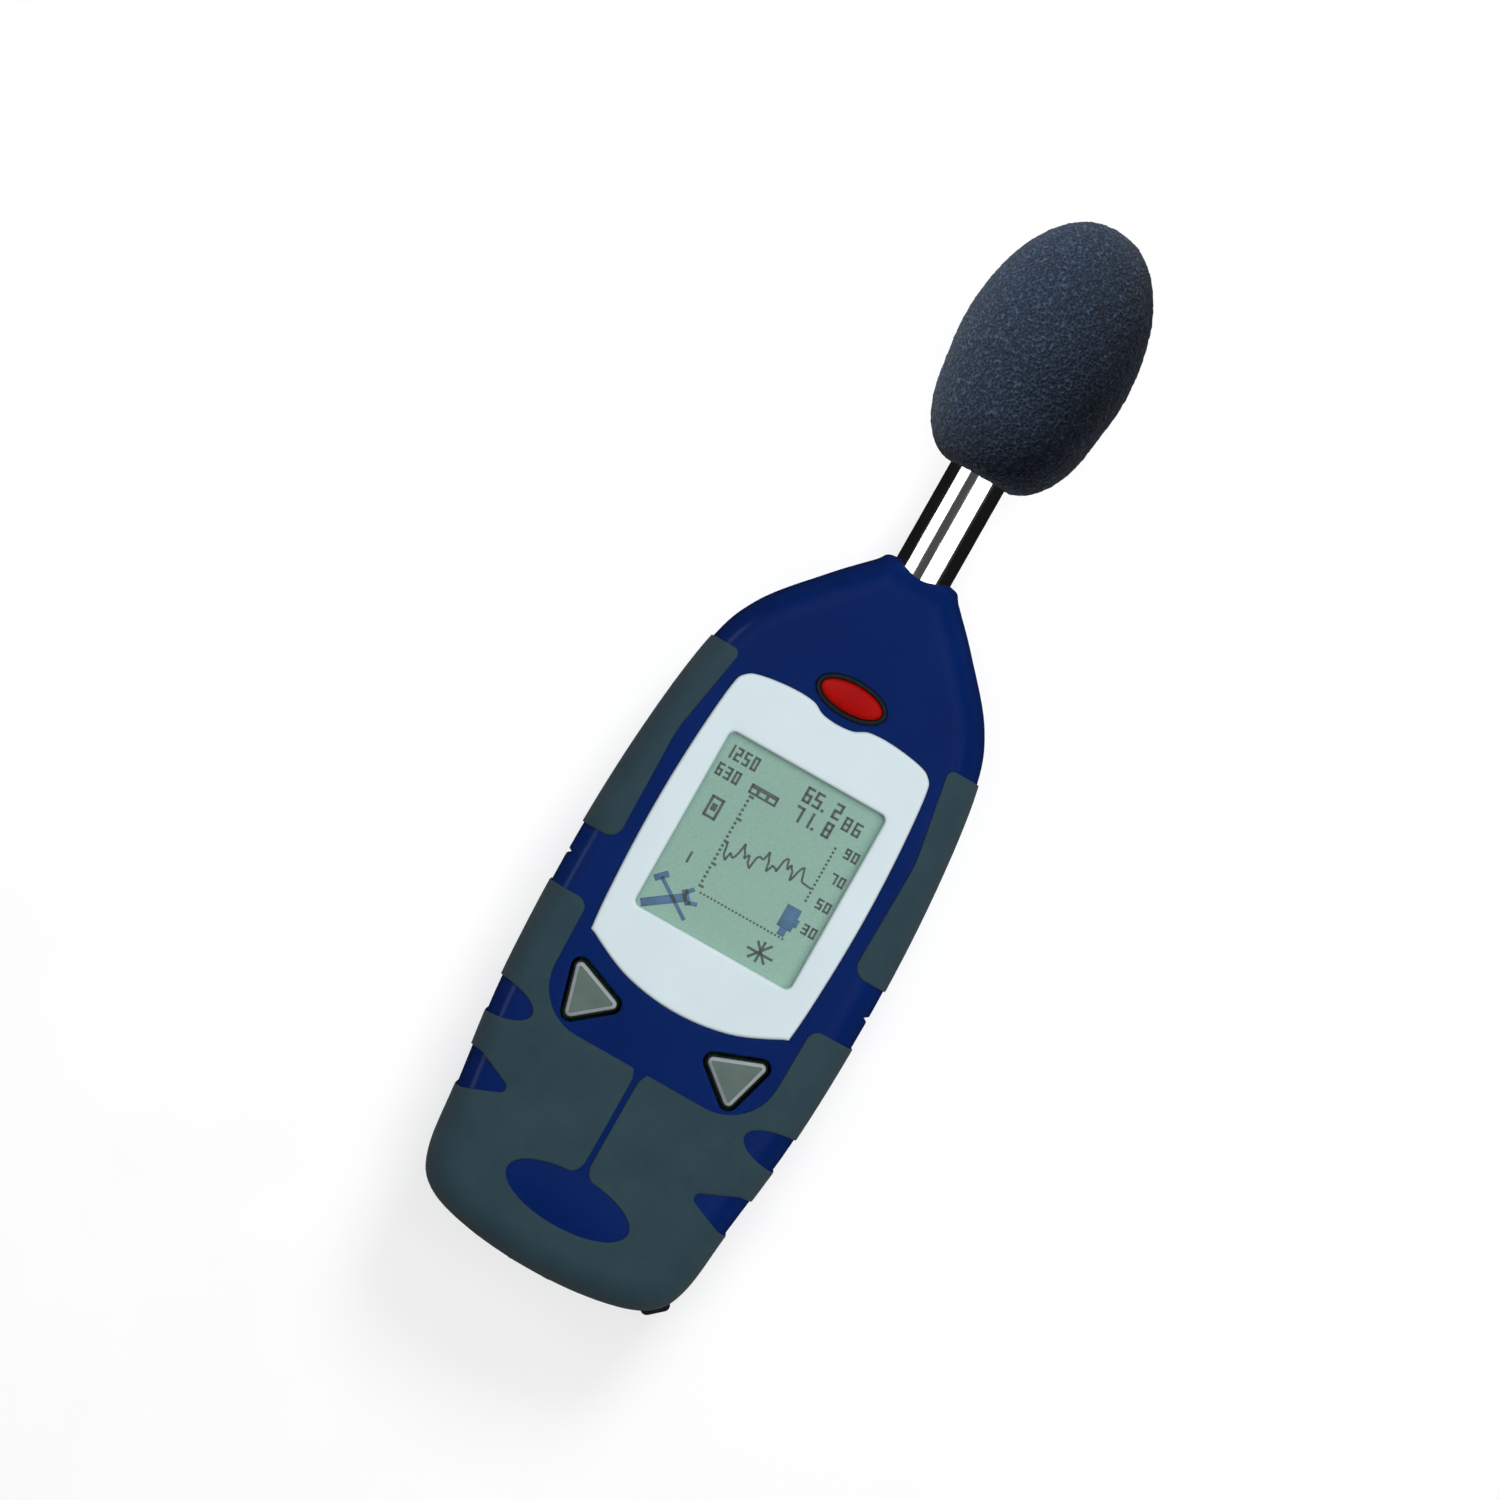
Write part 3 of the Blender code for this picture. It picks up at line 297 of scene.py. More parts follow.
def plate(name, loops, outer, inner, side=1, skin=None, radius=0.25, spacing=1.1, steps=5,
        extra_rings=()):
    """A closed piece over a flat area: outer(points) and inner(points) give the heights of its
    two faces. Edges that don't lie on the skin's outline are rounded to the radius."""
    def covered(points):
        return sum(inside(points, loop).astype(int) for loop in loops) % 2 == 1

    starts = np.vstack(loops)
    ends = np.vstack([np.roll(loop, -1, axis=0) for loop in loops])
    free = np.ones(len(starts), bool)
    grid = hex_grid(starts.min(axis=0), starts.max(axis=0), spacing)
    inner_points = [grid]
    if skin is not None:
        free = skin.rim_distance((starts + ends) / 2) > 0.04
        clear = skin.rim_distance(grid) > skin.inset + spacing * 0.3
        inner_points = [grid[clear], *skin.rings]
    angles = np.radians(np.linspace(90, 0, steps, endpoint=False))[::-1]
    edge_points = []
    for loop in loops:
        for offset in [*radius * (1 - np.cos(angles)), *extra_rings]:
            ring = grown(loop, -offset)
            gap = distance(ring, starts[free], ends[free])
            edge_points.append(ring[np.abs(gap - offset) < 0.1 * offset])
    rest = np.vstack(inner_points)
    crowded = distance(rest, starts[free], ends[free]) < max([radius, *extra_rings]) * 1.15
    rest = rest[(distance(rest, starts, ends) > 0.04) & ~crowded]
    extra = np.vstack([*edge_points, rest])
    extra = extra[covered(extra)]
    edges, base = [], 0
    for loop in loops:
        edges += [(base + i, base + (i + 1) % len(loop)) for i in range(len(loop))]
        base += len(loop)
    verts, faces = triangles(np.vstack([starts, extra]), edges)
    faces = faces[covered(verts[faces].mean(axis=1))]
    used = np.unique(faces)
    faces = np.searchsorted(used, faces)
    verts = verts[used]
    drop = quarter_drop(distance(verts, starts[free], ends[free]), radius)
    top = outer(verts) - side * drop
    count = len(verts)
    points = np.vstack([np.column_stack([verts, top]), np.column_stack([verts, inner(verts)])])
    solid = [tuple(f) for f in faces] + [tuple(f[::-1] + count) for f in faces]
    solid += [(a + count, b + count, b, a) for a, b in rim_edges(faces)]
    if side < 0:
        solid = [f[::-1] for f in solid]
    return made(name, points, solid)


def ease(value, start, end):
    t = np.clip((value - start) / (end - start), 0.0, 1.0)
    return t * t * (3 - 2 * t)


class Skin:
    """The case surface of one side, moved outwards by an offset."""

    def __init__(self, side, offset=0.0):
        right = HALF_OUTLINE
        left = [(-x, s) for x, s in right[-2:0:-1]]
        base = smooth_loop(right + left, 12)
        self.side, self.offset = side, offset
        self.outline = resampled(grown(base, offset), 0.8)
        self.starts, self.ends = self.outline, np.roll(self.outline, -1, axis=0)
        self.inset, self.rise = EDGES[side]
        angles = np.radians(np.arange(7.5, 91, 7.5))
        insets = self.inset * (1 - np.cos(angles))
        self.rings = []
        for inset in insets:
            ring = grown(self.outline, -inset)
            self.rings.append(ring[np.abs(self.rim_distance(ring) - inset) < 0.04 * inset + 0.01])

    def rim_distance(self, points):
        return distance(points, self.starts, self.ends)

    def height(self, points):
        """Height of the surface over each point."""
        x, station = points[:, 0], points[:, 1]
        end = BODY_LENGTH + 12
        share = ease(station, 112, end) / ease(BODY_LENGTH, 112, end)
        gap = np.where(inside(points, self.outline), self.rim_distance(points), 0.0)
        around = np.clip(1 - gap / self.inset, 0, 1)
        drop = self.rise * (1 - np.sqrt(1 - around ** 2))
        if self.side > 0:
            top = FRONT_TOP - share * (FRONT_TOP - AXIS_Z - NOSE_RADIUS)
            return top + self.offset - drop - CROWN * np.clip((x / 28.0) ** 2, 0, 1)
        return BACK_FLOOR + share * (AXIS_Z - NOSE_RADIUS - BACK_FLOOR) - self.offset + drop

    def shell(self, thickness):
        """Inner heights of a piece that thick, reaching the parting plane at the rim."""
        rim = AXIS_Z + self.side * SEAM

        def inner(points):
            depth = self.height(points) - self.side * thickness
            depth = np.maximum(depth, rim) if self.side > 0 else np.minimum(depth, rim)
            at_rim = self.rim_distance(points) < 0.03
            return np.where(at_rim, rim, depth)

        return inner


FRONT, BACK = Skin(1), Skin(-1)
FRONT_RUBBER, BACK_RUBBER = Skin(1, RUBBER_PROUD), Skin(-1, RUBBER_PROUD)


def skin_piece(name, skin, loops, thickness, radius, raised=None):
    """A piece of the case that thick, its free edges rounded and its outside raised in places."""
    def outer(points):
        height = skin.height(points)
        return height if raised is None else height + raised(points)

    return plate(name, loops, outer, skin.shell(thickness), skin.side, skin, radius)


# ---------------------------------------------------------------- materials
class Finish:
    """A Principled material being put together from procedural nodes."""

    def __init__(self, name, colour, roughness, metallic=0.0, **sockets):
        self.made = bpy.data.materials.new(name)
        self.made.use_nodes = True
        self.nodes = self.made.node_tree.nodes
        self.join = self.made.node_tree.links.new
        self.shader = self.nodes["Principled BSDF"]
        self.shader.inputs["Base Color"].default_value = (*colour, 1.0)
        self.shader.inputs["Roughness"].default_value = roughness
        self.shader.inputs["Metallic"].default_value = metallic
        for socket, value in sockets.items():
            self.shader.inputs[socket.replace("_", " ")].default_value = value
        self.place = self.node("TexCoord").outputs["Object"]
        self.normal = None

    def node(self, kind, **values):
        """A new node of that kind with those input values."""
        node = self.nodes.new(f"ShaderNode{kind}")
        for socket, value in values.items():
            node.inputs[socket.replace("_", " ")].default_value = value
        return node

    def stretched(self, x, y, z):
        """Coordinates scaled along each axis, for marks longer one way."""
        mapping = self.node("Mapping", Scale=(x, y, z))
        self.join(self.place, mapping.inputs["Vector"])
        return mapping.outputs["Vector"]

    def noise(self, size, detail=3.0, roughness=0.55, place=None):
        """Noise with features about that many millimetres across."""
        node = self.node("TexNoise", Scale=1.0 / (size * MM), Detail=detail, Roughness=roughness)
        self.join(place or self.place, node.inputs["Vector"])
        return node.outputs["Fac"]

    def cells(self, size):
        """Distance to the middle of cells about that many millimetres across."""
        node = self.node("TexVoronoi", Scale=1.0 / (size * MM))
        self.join(self.place, node.inputs["Vector"])
        return node.outputs["Distance"]

    def colours(self, value, *stops):
        """Base colour from a value, through (position, colour) stops."""
        ramp = self.node("ValToRGB")
        elements = ramp.color_ramp.elements
        while len(elements) < len(stops):
            elements.new(0.5)
        for element, (position, colour) in zip(elements, stops):
            element.position = position
            element.color = (*colour, 1.0)
        self.join(value, ramp.inputs["Fac"])
        self.join(ramp.outputs["Color"], self.shader.inputs["Base Color"])

    def rough(self, value, low, high, to_low, to_high):
        node = self.node("MapRange", From_Min=low, From_Max=high, To_Min=to_low, To_Max=to_high)
        self.join(value, node.inputs["Value"])
        self.join(node.outputs["Result"], self.shader.inputs["Roughness"])

    def bump(self, height, depth, strength=1.0):
        """Relief that many millimetres deep."""
        node = self.node("Bump", Distance=depth * MM, Strength=strength)
        self.join(height, node.inputs["Height"])
        if self.normal is not None:
            self.join(self.normal, node.inputs["Normal"])
        self.normal = node.outputs["Normal"]
        self.join(self.normal, self.shader.inputs["Normal"])


def plain(name, metallic, darker, paler, tint, wear, relief=None, **sockets):
    """A material whose colour, gloss and surface vary a little. The tint is the (size, detail) of
    its noise. The wear adds the least and greatest roughness, the relief a depth and strength."""
    finish = Finish(name, darker, wear[2], metallic, **sockets)
    finish.colours(finish.noise(*tint), (0.3, darker), (0.7, paler))
    finish.rough(finish.noise(*wear[:2]), 0.3, 0.7, *wear[2:])
    if relief:
        finish.bump(finish.noise(*relief[:2]), *relief[2:])
    return finish.made


def glossy_blue():
    finish = Finish("glossy_blue", (0.0022, 0.0145, 0.09), 0.22, Specular_IOR_Level=0.22)
    finish.colours(finish.noise(26, 2.0), (0.35, (0.001, 0.0125, 0.092)), (0.65, (0.0014, 0.0145, 0.104)))
    finish.rough(finish.noise(1.1, 4.0), 0.35, 0.65, 0.19, 0.27)
    finish.bump(finish.noise(2.4, 2.0), 0.012, 0.35)
    finish.bump(finish.noise(0.16, 2.0), 0.004, 0.25)
    return finish.made


def grip_rubber():
    finish = Finish("grip_rubber", (0.026, 0.05, 0.062), 0.7, Sheen_Weight=0.04, Sheen_Roughness=0.5,
            Specular_IOR_Level=0.3)
    finish.colours(finish.noise(9, 4.0), (0.3, (0.0215, 0.046, 0.06)), (0.7, (0.027, 0.055, 0.069)))
    finish.rough(finish.noise(0.7, 3.0), 0.3, 0.7, 0.6, 0.76)
    finish.bump(finish.cells(0.34), 0.02, 0.45)
    finish.bump(finish.noise(0.14, 2.0), 0.01, 0.4)
    return finish.made


def pale_plastic():
    return plain("pale_plastic", 0.0, (0.61, 0.715, 0.75), (0.64, 0.745, 0.78), (14, 2.0),
            (0.8, 3.0, 0.34, 0.46), (0.2, 3.0, 0.006, 0.4))


def red_plastic():
    return plain("red_plastic", 0.0, (0.29, 0.001, 0.001), (0.37, 0.002, 0.0015), (5, 2.0),
            (0.6, 3.0, 0.28, 0.4), (0.2, 2.0, 0.006, 0.4), Specular_IOR_Level=0.2)


def grey_keys():
    return plain("grey_keys", 0.0, (0.09, 0.125, 0.11), (0.11, 0.15, 0.135), (4, 3.0),
            (0.5, 3.0, 0.4, 0.55), (0.16, 3.0, 0.01, 0.5))


# Paler grey for the sloping border of the arrow keys: a painted highlight where the border catches the
# light.
def key_edge_painted_highlight():
    return plain("key_edge_painted_highlight", 0.0, (0.29, 0.33, 0.34), (0.35, 0.39, 0.4), (3, 3.0),
            (0.5, 3.0, 0.35, 0.5), (0.16, 3.0, 0.008, 0.5))


def copper_band():
    return plain("copper_band", 0.7, (0.44, 0.19, 0.07), (0.55, 0.25, 0.11), (4, 2.0),
            (0.7, 2.0, 0.2, 0.35))


def black_plastic():
    return plain("black_plastic", 0.0, (0.01, 0.01, 0.011), (0.016, 0.016, 0.018), (3, 3.0),
            (0.5, 3.0, 0.38, 0.55), (0.14, 3.0, 0.008, 0.5))


def seal_rubber():
    return plain("seal_rubber", 0.0, (0.008, 0.009, 0.01), (0.014, 0.015, 0.016), (2, 3.0),
            (0.4, 3.0, 0.55, 0.75), (0.12, 3.0, 0.01, 0.5))


def chrome():
    finish = Finish("chrome", (0.78, 0.79, 0.8), 0.08, 1.0)
    finish.colours(finish.noise(6, 2.0), (0.3, (0.76, 0.77, 0.78)), (0.7, (0.8, 0.81, 0.82)))
    finish.rough(finish.noise(1.2, 4.0, place=finish.stretched(1, 0.15, 1)), 0.3, 0.7, 0.05, 0.13)
    finish.bump(finish.noise(0.08, 2.0, place=finish.stretched(1, 0.05, 1)), 0.001, 0.25)
    return finish.made


def steel():
    return plain("steel", 1.0, (0.5, 0.51, 0.52), (0.6, 0.61, 0.62), (2, 3.0),
            (0.5, 3.0, 0.22, 0.4), (0.1, 2.0, 0.003, 0.4))


def brass():
    return plain("brass", 1.0, (0.6, 0.41, 0.16), (0.7, 0.5, 0.22), (2, 3.0),
            (0.5, 3.0, 0.22, 0.4), (0.12, 2.0, 0.003, 0.4))


def display_glass():
    """The display's pale green-grey field."""
    return plain("display_glass", 0.0, (0.285, 0.5, 0.405), (0.315, 0.545, 0.44), (60, 1.0),
            (0.4, 2.0, 0.22, 0.32), (0.15, 2.0, 0.002, 0.3))


def display_ink(name, colour):
    finish = Finish(name, colour, 0.4)
    paler = tuple(min(1.0, c * 1.25 + 0.01) for c in colour)
    finish.colours(finish.noise(1.5, 2.0), (0.3, colour), (0.7, paler))
    finish.bump(finish.noise(0.1, 2.0), 0.001, 0.3)
    return finish.made


def clear_window():
    finish = Finish("clear_window", (0.3, 0.36, 0.35), 0.05, Alpha=0.12)
    finish.rough(finish.noise(1.5, 3.0), 0.3, 0.7, 0.03, 0.08)
    finish.bump(finish.noise(3.0, 1.0), 0.002, 0.2)
    return finish.made


def board_green():
    """Solder mask over faint copper tracks."""
    finish = Finish("board_green", (0.01, 0.1, 0.03), 0.35)
    finish.colours(finish.noise(1.2, 1.0, place=finish.stretched(1, 0.2, 1)),
            (0.45, (0.006, 0.07, 0.02)), (0.55, (0.012, 0.13, 0.045)))
    finish.rough(finish.noise(0.6, 2.0), 0.3, 0.7, 0.28, 0.42)
    finish.bump(finish.noise(1.2, 1.0, place=finish.stretched(1, 0.2, 1)), 0.02, 0.5)
    return finish.made


def chip_black():
    finish = Finish("chip_black", (0.014, 0.014, 0.015), 0.6)
    finish.colours(finish.noise(1.0, 3.0), (0.3, (0.012, 0.012, 0.013)), (0.7, (0.022, 0.022, 0.023)))
    finish.bump(finish.noise(0.08, 3.0), 0.01, 0.6)
    return finish.made


def cell_wrap():
    """Printed foil sleeve of a cell."""
    return plain("cell_wrap", 0.4, (0.03, 0.03, 0.035), (0.07, 0.07, 0.08), (8, 2.0),
            (0.7, 2.0, 0.2, 0.35), (0.5, 2.0, 0.004, 0.4))


def white_insulator():
    return plain("white_insulator", 0.0, (0.74, 0.74, 0.71), (0.8, 0.8, 0.77), (3, 2.0),
            (0.5, 2.0, 0.4, 0.6), (0.2, 2.0, 0.004, 0.4))


def open_foam():
    """Dark blue-grey reticulated foam with random grain: the pores darkened as painted shade in the pits,
    with paler threads between them.
    """
    finish = Finish("open_foam", (0.015, 0.024, 0.045), 0.95, Sheen_Weight=0.05, Sheen_Roughness=0.6)
    pores = finish.cells(0.62)
    grain = finish.noise(0.3, 4.0, 0.7)
    pore_shade_and_grain = finish.node("Math")
    pore_shade_and_grain.operation = "MULTIPLY"
    finish.join(pores, pore_shade_and_grain.inputs[0])
    finish.join(grain, pore_shade_and_grain.inputs[1])
    # Pore middles and low grain map to near-black, painted shade in the pits; the upper stops are the
    # foam's own tone.
    finish.colours(pore_shade_and_grain.outputs["Value"], (0.06, (0.004, 0.008, 0.019)), (0.2, (0.010, 0.022, 0.045)),
            (0.36, (0.023, 0.045, 0.085)), (0.5, (0.07, 0.12, 0.19)))
    finish.bump(pores, 0.3, 0.8)
    finish.bump(grain, 0.2, 0.6)
    return finish.made


MATERIALS = {
    "case_blue": glossy_blue(), "grip_rubber": grip_rubber(), "bezel_white": pale_plastic(),
    "power_red": red_plastic(), "key_grey": grey_keys(), "black_plastic": black_plastic(),
    "seal_black": seal_rubber(), "tube_chrome": chrome(), "spring_steel": steel(), "brass": brass(),
    "lcd_glass": display_glass(), "window_clear": clear_window(), "board_green": board_green(),
    "cell_wrap": cell_wrap(), "insulator_white": white_insulator(), "foam": open_foam(),
}
KEY_EDGE_PAINTED_HIGHLIGHT, COPPER = key_edge_painted_highlight(), copper_band()


def finished(obj, slot, nodes, body="meter", material=None):
    """Gives a piece its material, hides the CAD nodes it stands for and attaches it to what it rides on.
    """
    obj.data.materials.clear()
    obj.data.materials.append(material or MATERIALS[slot])
    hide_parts(*nodes)
    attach(obj, body)
    return obj


# ---------------------------------------------------------------- front of the case
BADGE = (0.0, 16.6, 14.2, 5.7)      # centre X, station, half sizes


def groove():
    right = smooth_strip([(5.6, 20.7), (3.4, 21.7), (1.6, 22.9), (0.75, 24.6), (0.62, 27.0),
            (0.62, 43.0), (0.9, 45.6), (1.7, 47.2), (3.2, 48.6)])
    left = [(-x, s) for x, s in reversed(right)]
    return np.array(right + left)


def finger_notches(back=False):
    """Bare patches at the sides of the lower rubber, which reach less far over the back."""
    if back:
        reach = 6.2
        tongue = [(28.4, 30.2, 1.2), (31.6, 25.9, 1.0), (44, 25.4, 0), (44, 35.2, 0), (31.6, 34.6, 1.0)]
    else:
        reach = 10.6
        tongue = [(20.6, 30.2, 1.2), (30.5, 26.0, 3.0), (44, 25.4, 0), (44, 35.2, 0), (30.5, 34.6, 3.0)]
    upper, lower = ellipse(35.8, 46.2, reach, 4.1, 80), rounded(tongue)
    return [upper, lower, mirrored(upper), mirrored(lower)]


def bezel_outline(gap=0.0):
    right = [(3.6, 129.6), (6.6, 131.0), (12.0, 131.2), (18.6, 130.3), (21.6, 128.9), (23.0, 125.6),
            (24.2, 112.0), (24.7, 97.0), (24.4, 82.0), (23.5, 68.8), (22.2, 67.2), (12.0, 62.7)]
    left = [(-x, s) for x, s in reversed(right)]
    loop = smooth_loop([(0.0, 129.2), *left[::-1], (0.0, 61.1), *right[::-1]], 8)
    return resampled(grown(loop, gap), 0.7)


SCREEN = (0.0, 97.1, 18.4, 20.5)    # centre X, station, half sizes


def screen_opening(gap=0.0, radius=1.4):
    x, s, half_x, half_s = SCREEN
    return rectangle(x - half_x - gap, x + half_x + gap, s - half_s - gap, s + half_s + gap, radius)


def power_outline(gap=0.0):
    x, s, half_x, half_s = POWER_SHAPE
    return ellipse(x, s, half_x + gap, half_s + gap)


def arrow_outline(side, gap=0.0):
    left = rounded([(-22.9, 61.6, 1.1), (-19.3, 48.9, 1.1), (-9.9, 56.6, 1.1)])
    return grown(left if side < 0 else mirrored(left), gap)


RING = 1.0                  # width of the black seal round each key


def within(points, *loops):
    """Whether each point is inside any of the loops."""
    return np.any([inside(points, loop) for loop in loops], axis=0)


def side_notches():
    right = np.array([(34.5, 79.3), (37.4, 77.7), (37.4, 80.9)])
    return [right, mirrored(right)]


def loops_over(skin, area, *holes):
    """Loops round what lies on the skin, in the area if there is one, and outside the holes."""
    bounds = [skin.outline] if area is None else [skin.outline, area]

    def chosen(points):
        kept = np.all([inside(points, loop) for loop in bounds], axis=0)
        return kept & ~within(points, *holes) if holes else kept

    return region([*bounds, *holes], chosen)


def build_front_case():
    holes = [bezel_outline(0.06), power_outline(RING + 0.06), arrow_outline(-1, RING + 0.06),
            arrow_outline(1, RING + 0.06)]
    loops = loops_over(FRONT, None, *holes, *side_notches())
    case = skin_piece("front_case_shell", FRONT, loops, 2.6, 0.2, domed(0.0, 0.5, *BADGE))
    finished(case, "case_blue", ["front_case"])


def boot_area():
    return rounded([(-42, 72.3, 0), (-42, -4, 0), (42, -4, 0), (42, 72.3, 0), (26.5, 72.3, 2.5),
            (26.0, 47.1, 11.0), (-26.0, 47.1, 11.0), (-26.5, 72.3, 2.5)])


def build_front_boot():
    loops = loops_over(FRONT_RUBBER, boot_area(), ellipse(*BADGE, 120), groove(), *finger_notches())
    boot = skin_piece("front_boot_rubber", FRONT_RUBBER, loops, 0.9, 0.34)
    finished(boot, "grip_rubber", ["front_boot"])


def grip_area(side, back=False):
    inner = 1.2 if back else 0.0
    right = rounded([(24.5 + inner, 132.7, 1.5), (28.2 + inner, 112, 30), (27.8 + inner, 86.0, 3.0),
            (42, 86.0, 0), (42, 132.7, 0)])
    return right if side > 0 else mirrored(right)


def build_grips(skin, back):
    word = "rear" if back else "front"
    for side, hand in ((-1, "left"), (1, "right")):
        loops = loops_over(skin, grip_area(side, back))
        grip = skin_piece(f"{word}_grip_{hand}_rubber", skin, loops, 0.9, 0.34)
        finished(grip, "grip_rubber", [f"{word}_grip_{hand}"])


def level(height):
    return lambda points: np.full(len(points), float(height))


def build_bezel():
    loops = [bezel_outline(), screen_opening()[::-1]]
    bezel = plate("display_bezel", [divided(loop, 0.8) for loop in loops], level(BEZEL_TOP),
            level(BEZEL_FOOT),
            radius=0.75, spacing=1.6, steps=7)
    finished(bezel, "bezel_white", ["bezel"])


def domed(base, rise, x, s, half_x, half_s):
    def height(points):
        share = ((points[:, 0] - x) / half_x) ** 2 + ((points[:, 1] - s) / half_s) ** 2
        return base + rise * np.clip(1 - share, 0, 1)
    return height


BEZEL_TOP, BEZEL_FOOT = 31.0, 29.0
KEY_TOP, KEY_FOOT = 31.5, 25.0
SEAL_FOOT = 28.6
POWER_SHAPE = (0.0, 135.2, 7.0, 3.0)    # centre X, station, half sizes
BEVEL_WIDTH, BEVEL_DROP = 0.75, 0.55    # sloping border of the arrow keys, painted paler as a highlight


def build_seal(name, outer, inner, top, radius):
    """A black rubber ring between the two outlines."""
    loops = [divided(outer, 0.4), divided(inner, 0.4)[::-1]]
    ring = plate(f"{name}_key_seal", loops, level(top), level(SEAL_FOOT), radius=radius, spacing=0.4)
    finished(ring, "seal_black", [f"{name}_seal"])


def build_keys():
    power = plate("power_key_cap", [divided(power_outline(), 0.4)], domed(31.3, 0.3, *POWER_SHAPE),
            level(KEY_FOOT), radius=0.7, spacing=0.5, steps=7)
    finished(power, "power_red", ["power_button"], "power_key")
    build_seal("power", power_outline(RING), power_outline(0.12), 30.75, 0.25)
    for side, name in ((-1, "up"), (1, "down")):
        loop = divided(arrow_outline(side), 0.4)
        key = plate(f"{name}_key_cap", [loop], key_face(loop), level(KEY_FOOT), radius=0.3,
                spacing=0.4, extra_rings=(0.45, 0.6, 0.75, 0.9))
        finished(key, "key_grey", [f"{name}_button"], f"{name}_key")
        # The sloping border of each arrow key gets the paler grey, a painted highlight.
        key.data.materials.append(KEY_EDGE_PAINTED_HIGHLIGHT)
        paint(key, 1, lambda points, loop=loop: (points[:, 2] > 30.5) & (distance(
            points[:, :2], loop, np.roll(loop, -1, axis=0)) < BEVEL_WIDTH))
        build_seal(name, arrow_outline(side, RING * 0.4), arrow_outline(side, 0.1), 30.7, 0.2)


def key_face(loop):
    """Heights of an arrow key: a sloping border round a flat field."""
    def height(points):
        gap = distance(points, loop, np.roll(loop, -1, axis=0))
        return KEY_TOP - BEVEL_DROP * np.clip(1 - gap / BEVEL_WIDTH, 0, 1)
    return height


def paint(obj, index, chosen):
    """Gives the faces whose centres are chosen the material with that index."""
    centres = np.array([f.center[:] for f in obj.data.polygons]) / MM - (0, STATION_ZERO, 0)
    marks = np.where(chosen(centres), index, 0)
    obj.data.polygons.foreach_set("material_index", marks.astype(np.int32))


# ---------------------------------------------------------------- display
GLASS_TOP = 28.9
INK_TOP = GLASS_TOP + 0.05


def slabs(name, shapes, top=INK_TOP, depth=0.04):
    """Many thin upright bars as one piece, from (X0, X1, station0, station1) rectangles, or
    from lists of corners."""
    verts, faces = [], []
    for shape in shapes:
        corners = shape
        if not hasattr(shape[0], "__len__"):
            x0, x1, s0, s1 = shape
            corners = [(x0, s0), (x1, s0), (x1, s1), (x0, s1)]
        base, count = len(verts), len(corners)
        verts += [(x, s, z) for z in (top, top - depth) for x, s in corners]
        faces.append([base + i for i in range(count)])
        faces.append([base + count + i for i in reversed(range(count))])
        for i in range(count):
            j = (i + 1) % count
            faces.append([base + i, base + count + i, base + count + j, base + j])
    return made(name, verts, faces, 0)


SEGMENTS = {"0": "abcdef", "1": "bc", "2": "abged", "3": "abgcd", "5": "afgcd",
        "6": "afgedc", "7": "abc", "8": "abcdefg", "9": "abcdfg"}


def digit_bars(character, x, s, width, height, stroke):
    """Seven-segment bars of a digit whose lower left corner is at (x, s)."""
    half, x1, s1 = stroke / 2, x + width, s + height
    middle = s + height / 2
    bars = {
        "a": (x, x1, s1 - stroke, s1), "b": (x1 - stroke, x1, middle, s1),
        "c": (x1 - stroke, x1, s, middle), "d": (x, x1, s, s + stroke),
        "e": (x, x + stroke, s, middle), "f": (x, x + stroke, middle, s1),
        "g": (x, x1, middle - half, middle + half),
    }
    return [bars[key] for key in SEGMENTS[character]]


def number_bars(text, x, s, width, height, stroke, pitch):
    bars = []
    for i, character in enumerate(text):
        if character == ".":
            bars.append((x + i * pitch - 0.1, x + i * pitch + stroke, s, s + stroke))
        else:
            bars += digit_bars(character, x + i * pitch, s, width, height, stroke)
    return bars


def stroke_between(a, b, width):
    """A four-cornered stroke from a to b."""
    along = Vector(b) - Vector(a)
    side = Vector((-along.y, along.x)).normalized() * width / 2
    return [tuple(Vector(a) - side), tuple(Vector(b) - side), tuple(Vector(b) + side),
            tuple(Vector(a) + side)]


def readout():
    """Two reading rows at the top, with small units, and the numbers beside the plot."""
    bars = number_bars("65.2", 1.2, 111.9, 1.8, 3.5, 0.58, 2.3)
    bars += number_bars("71.8", 1.2, 107.6, 1.8, 3.4, 0.58, 2.3)
    bars += number_bars("1250", -17.2, 112.3, 1.4, 3.0, 0.5, 1.95)
    bars += number_bars("630", -17.2, 108.0, 1.4, 2.8, 0.5, 1.95)
    bars += [(-9.2, -2.8, 109.3, 110.2), (-9.2, -2.8, 108.0, 108.5), (-9.2, -8.7, 108.0, 110.2),
            (-3.3, -2.8, 108.0, 110.2), (-7.6, -6.9, 108.5, 109.3), (-5.4, -4.7, 108.5, 109.3)]
    bars += number_bars("86", 11.1, 110.8, 1.7, 3.0, 0.5, 2.4)
    for station, label in ((105.9, "90"), (100.1, "70"), (94.1, "50"), (88.1, "30")):
        bars += number_bars(label, 14.4, station, 1.35, 2.3, 0.45, 1.8)
    bars += digit_bars("1", -14.1, 89.2, 1.3, 2.6, 0.5)
    return bars


def scales():
    """Dotted axes of the level plot."""
    bars = []
    for station in np.arange(86.2, 107.8, 1.05):
        long = round((station - 86.2) / 1.05) % 5 == 0
        bars.append((-8.6, -7.4 if long else -8.0, station, station + 0.55))
    for station in np.arange(94.2, 107.2, 0.95):
        bars.append((12.0, 12.5, station, station + 0.5))
    for x in np.arange(-7.6, 12.0, 0.84):
        bars.append((x, x + 0.45, 85.0, 85.45))
    return bars


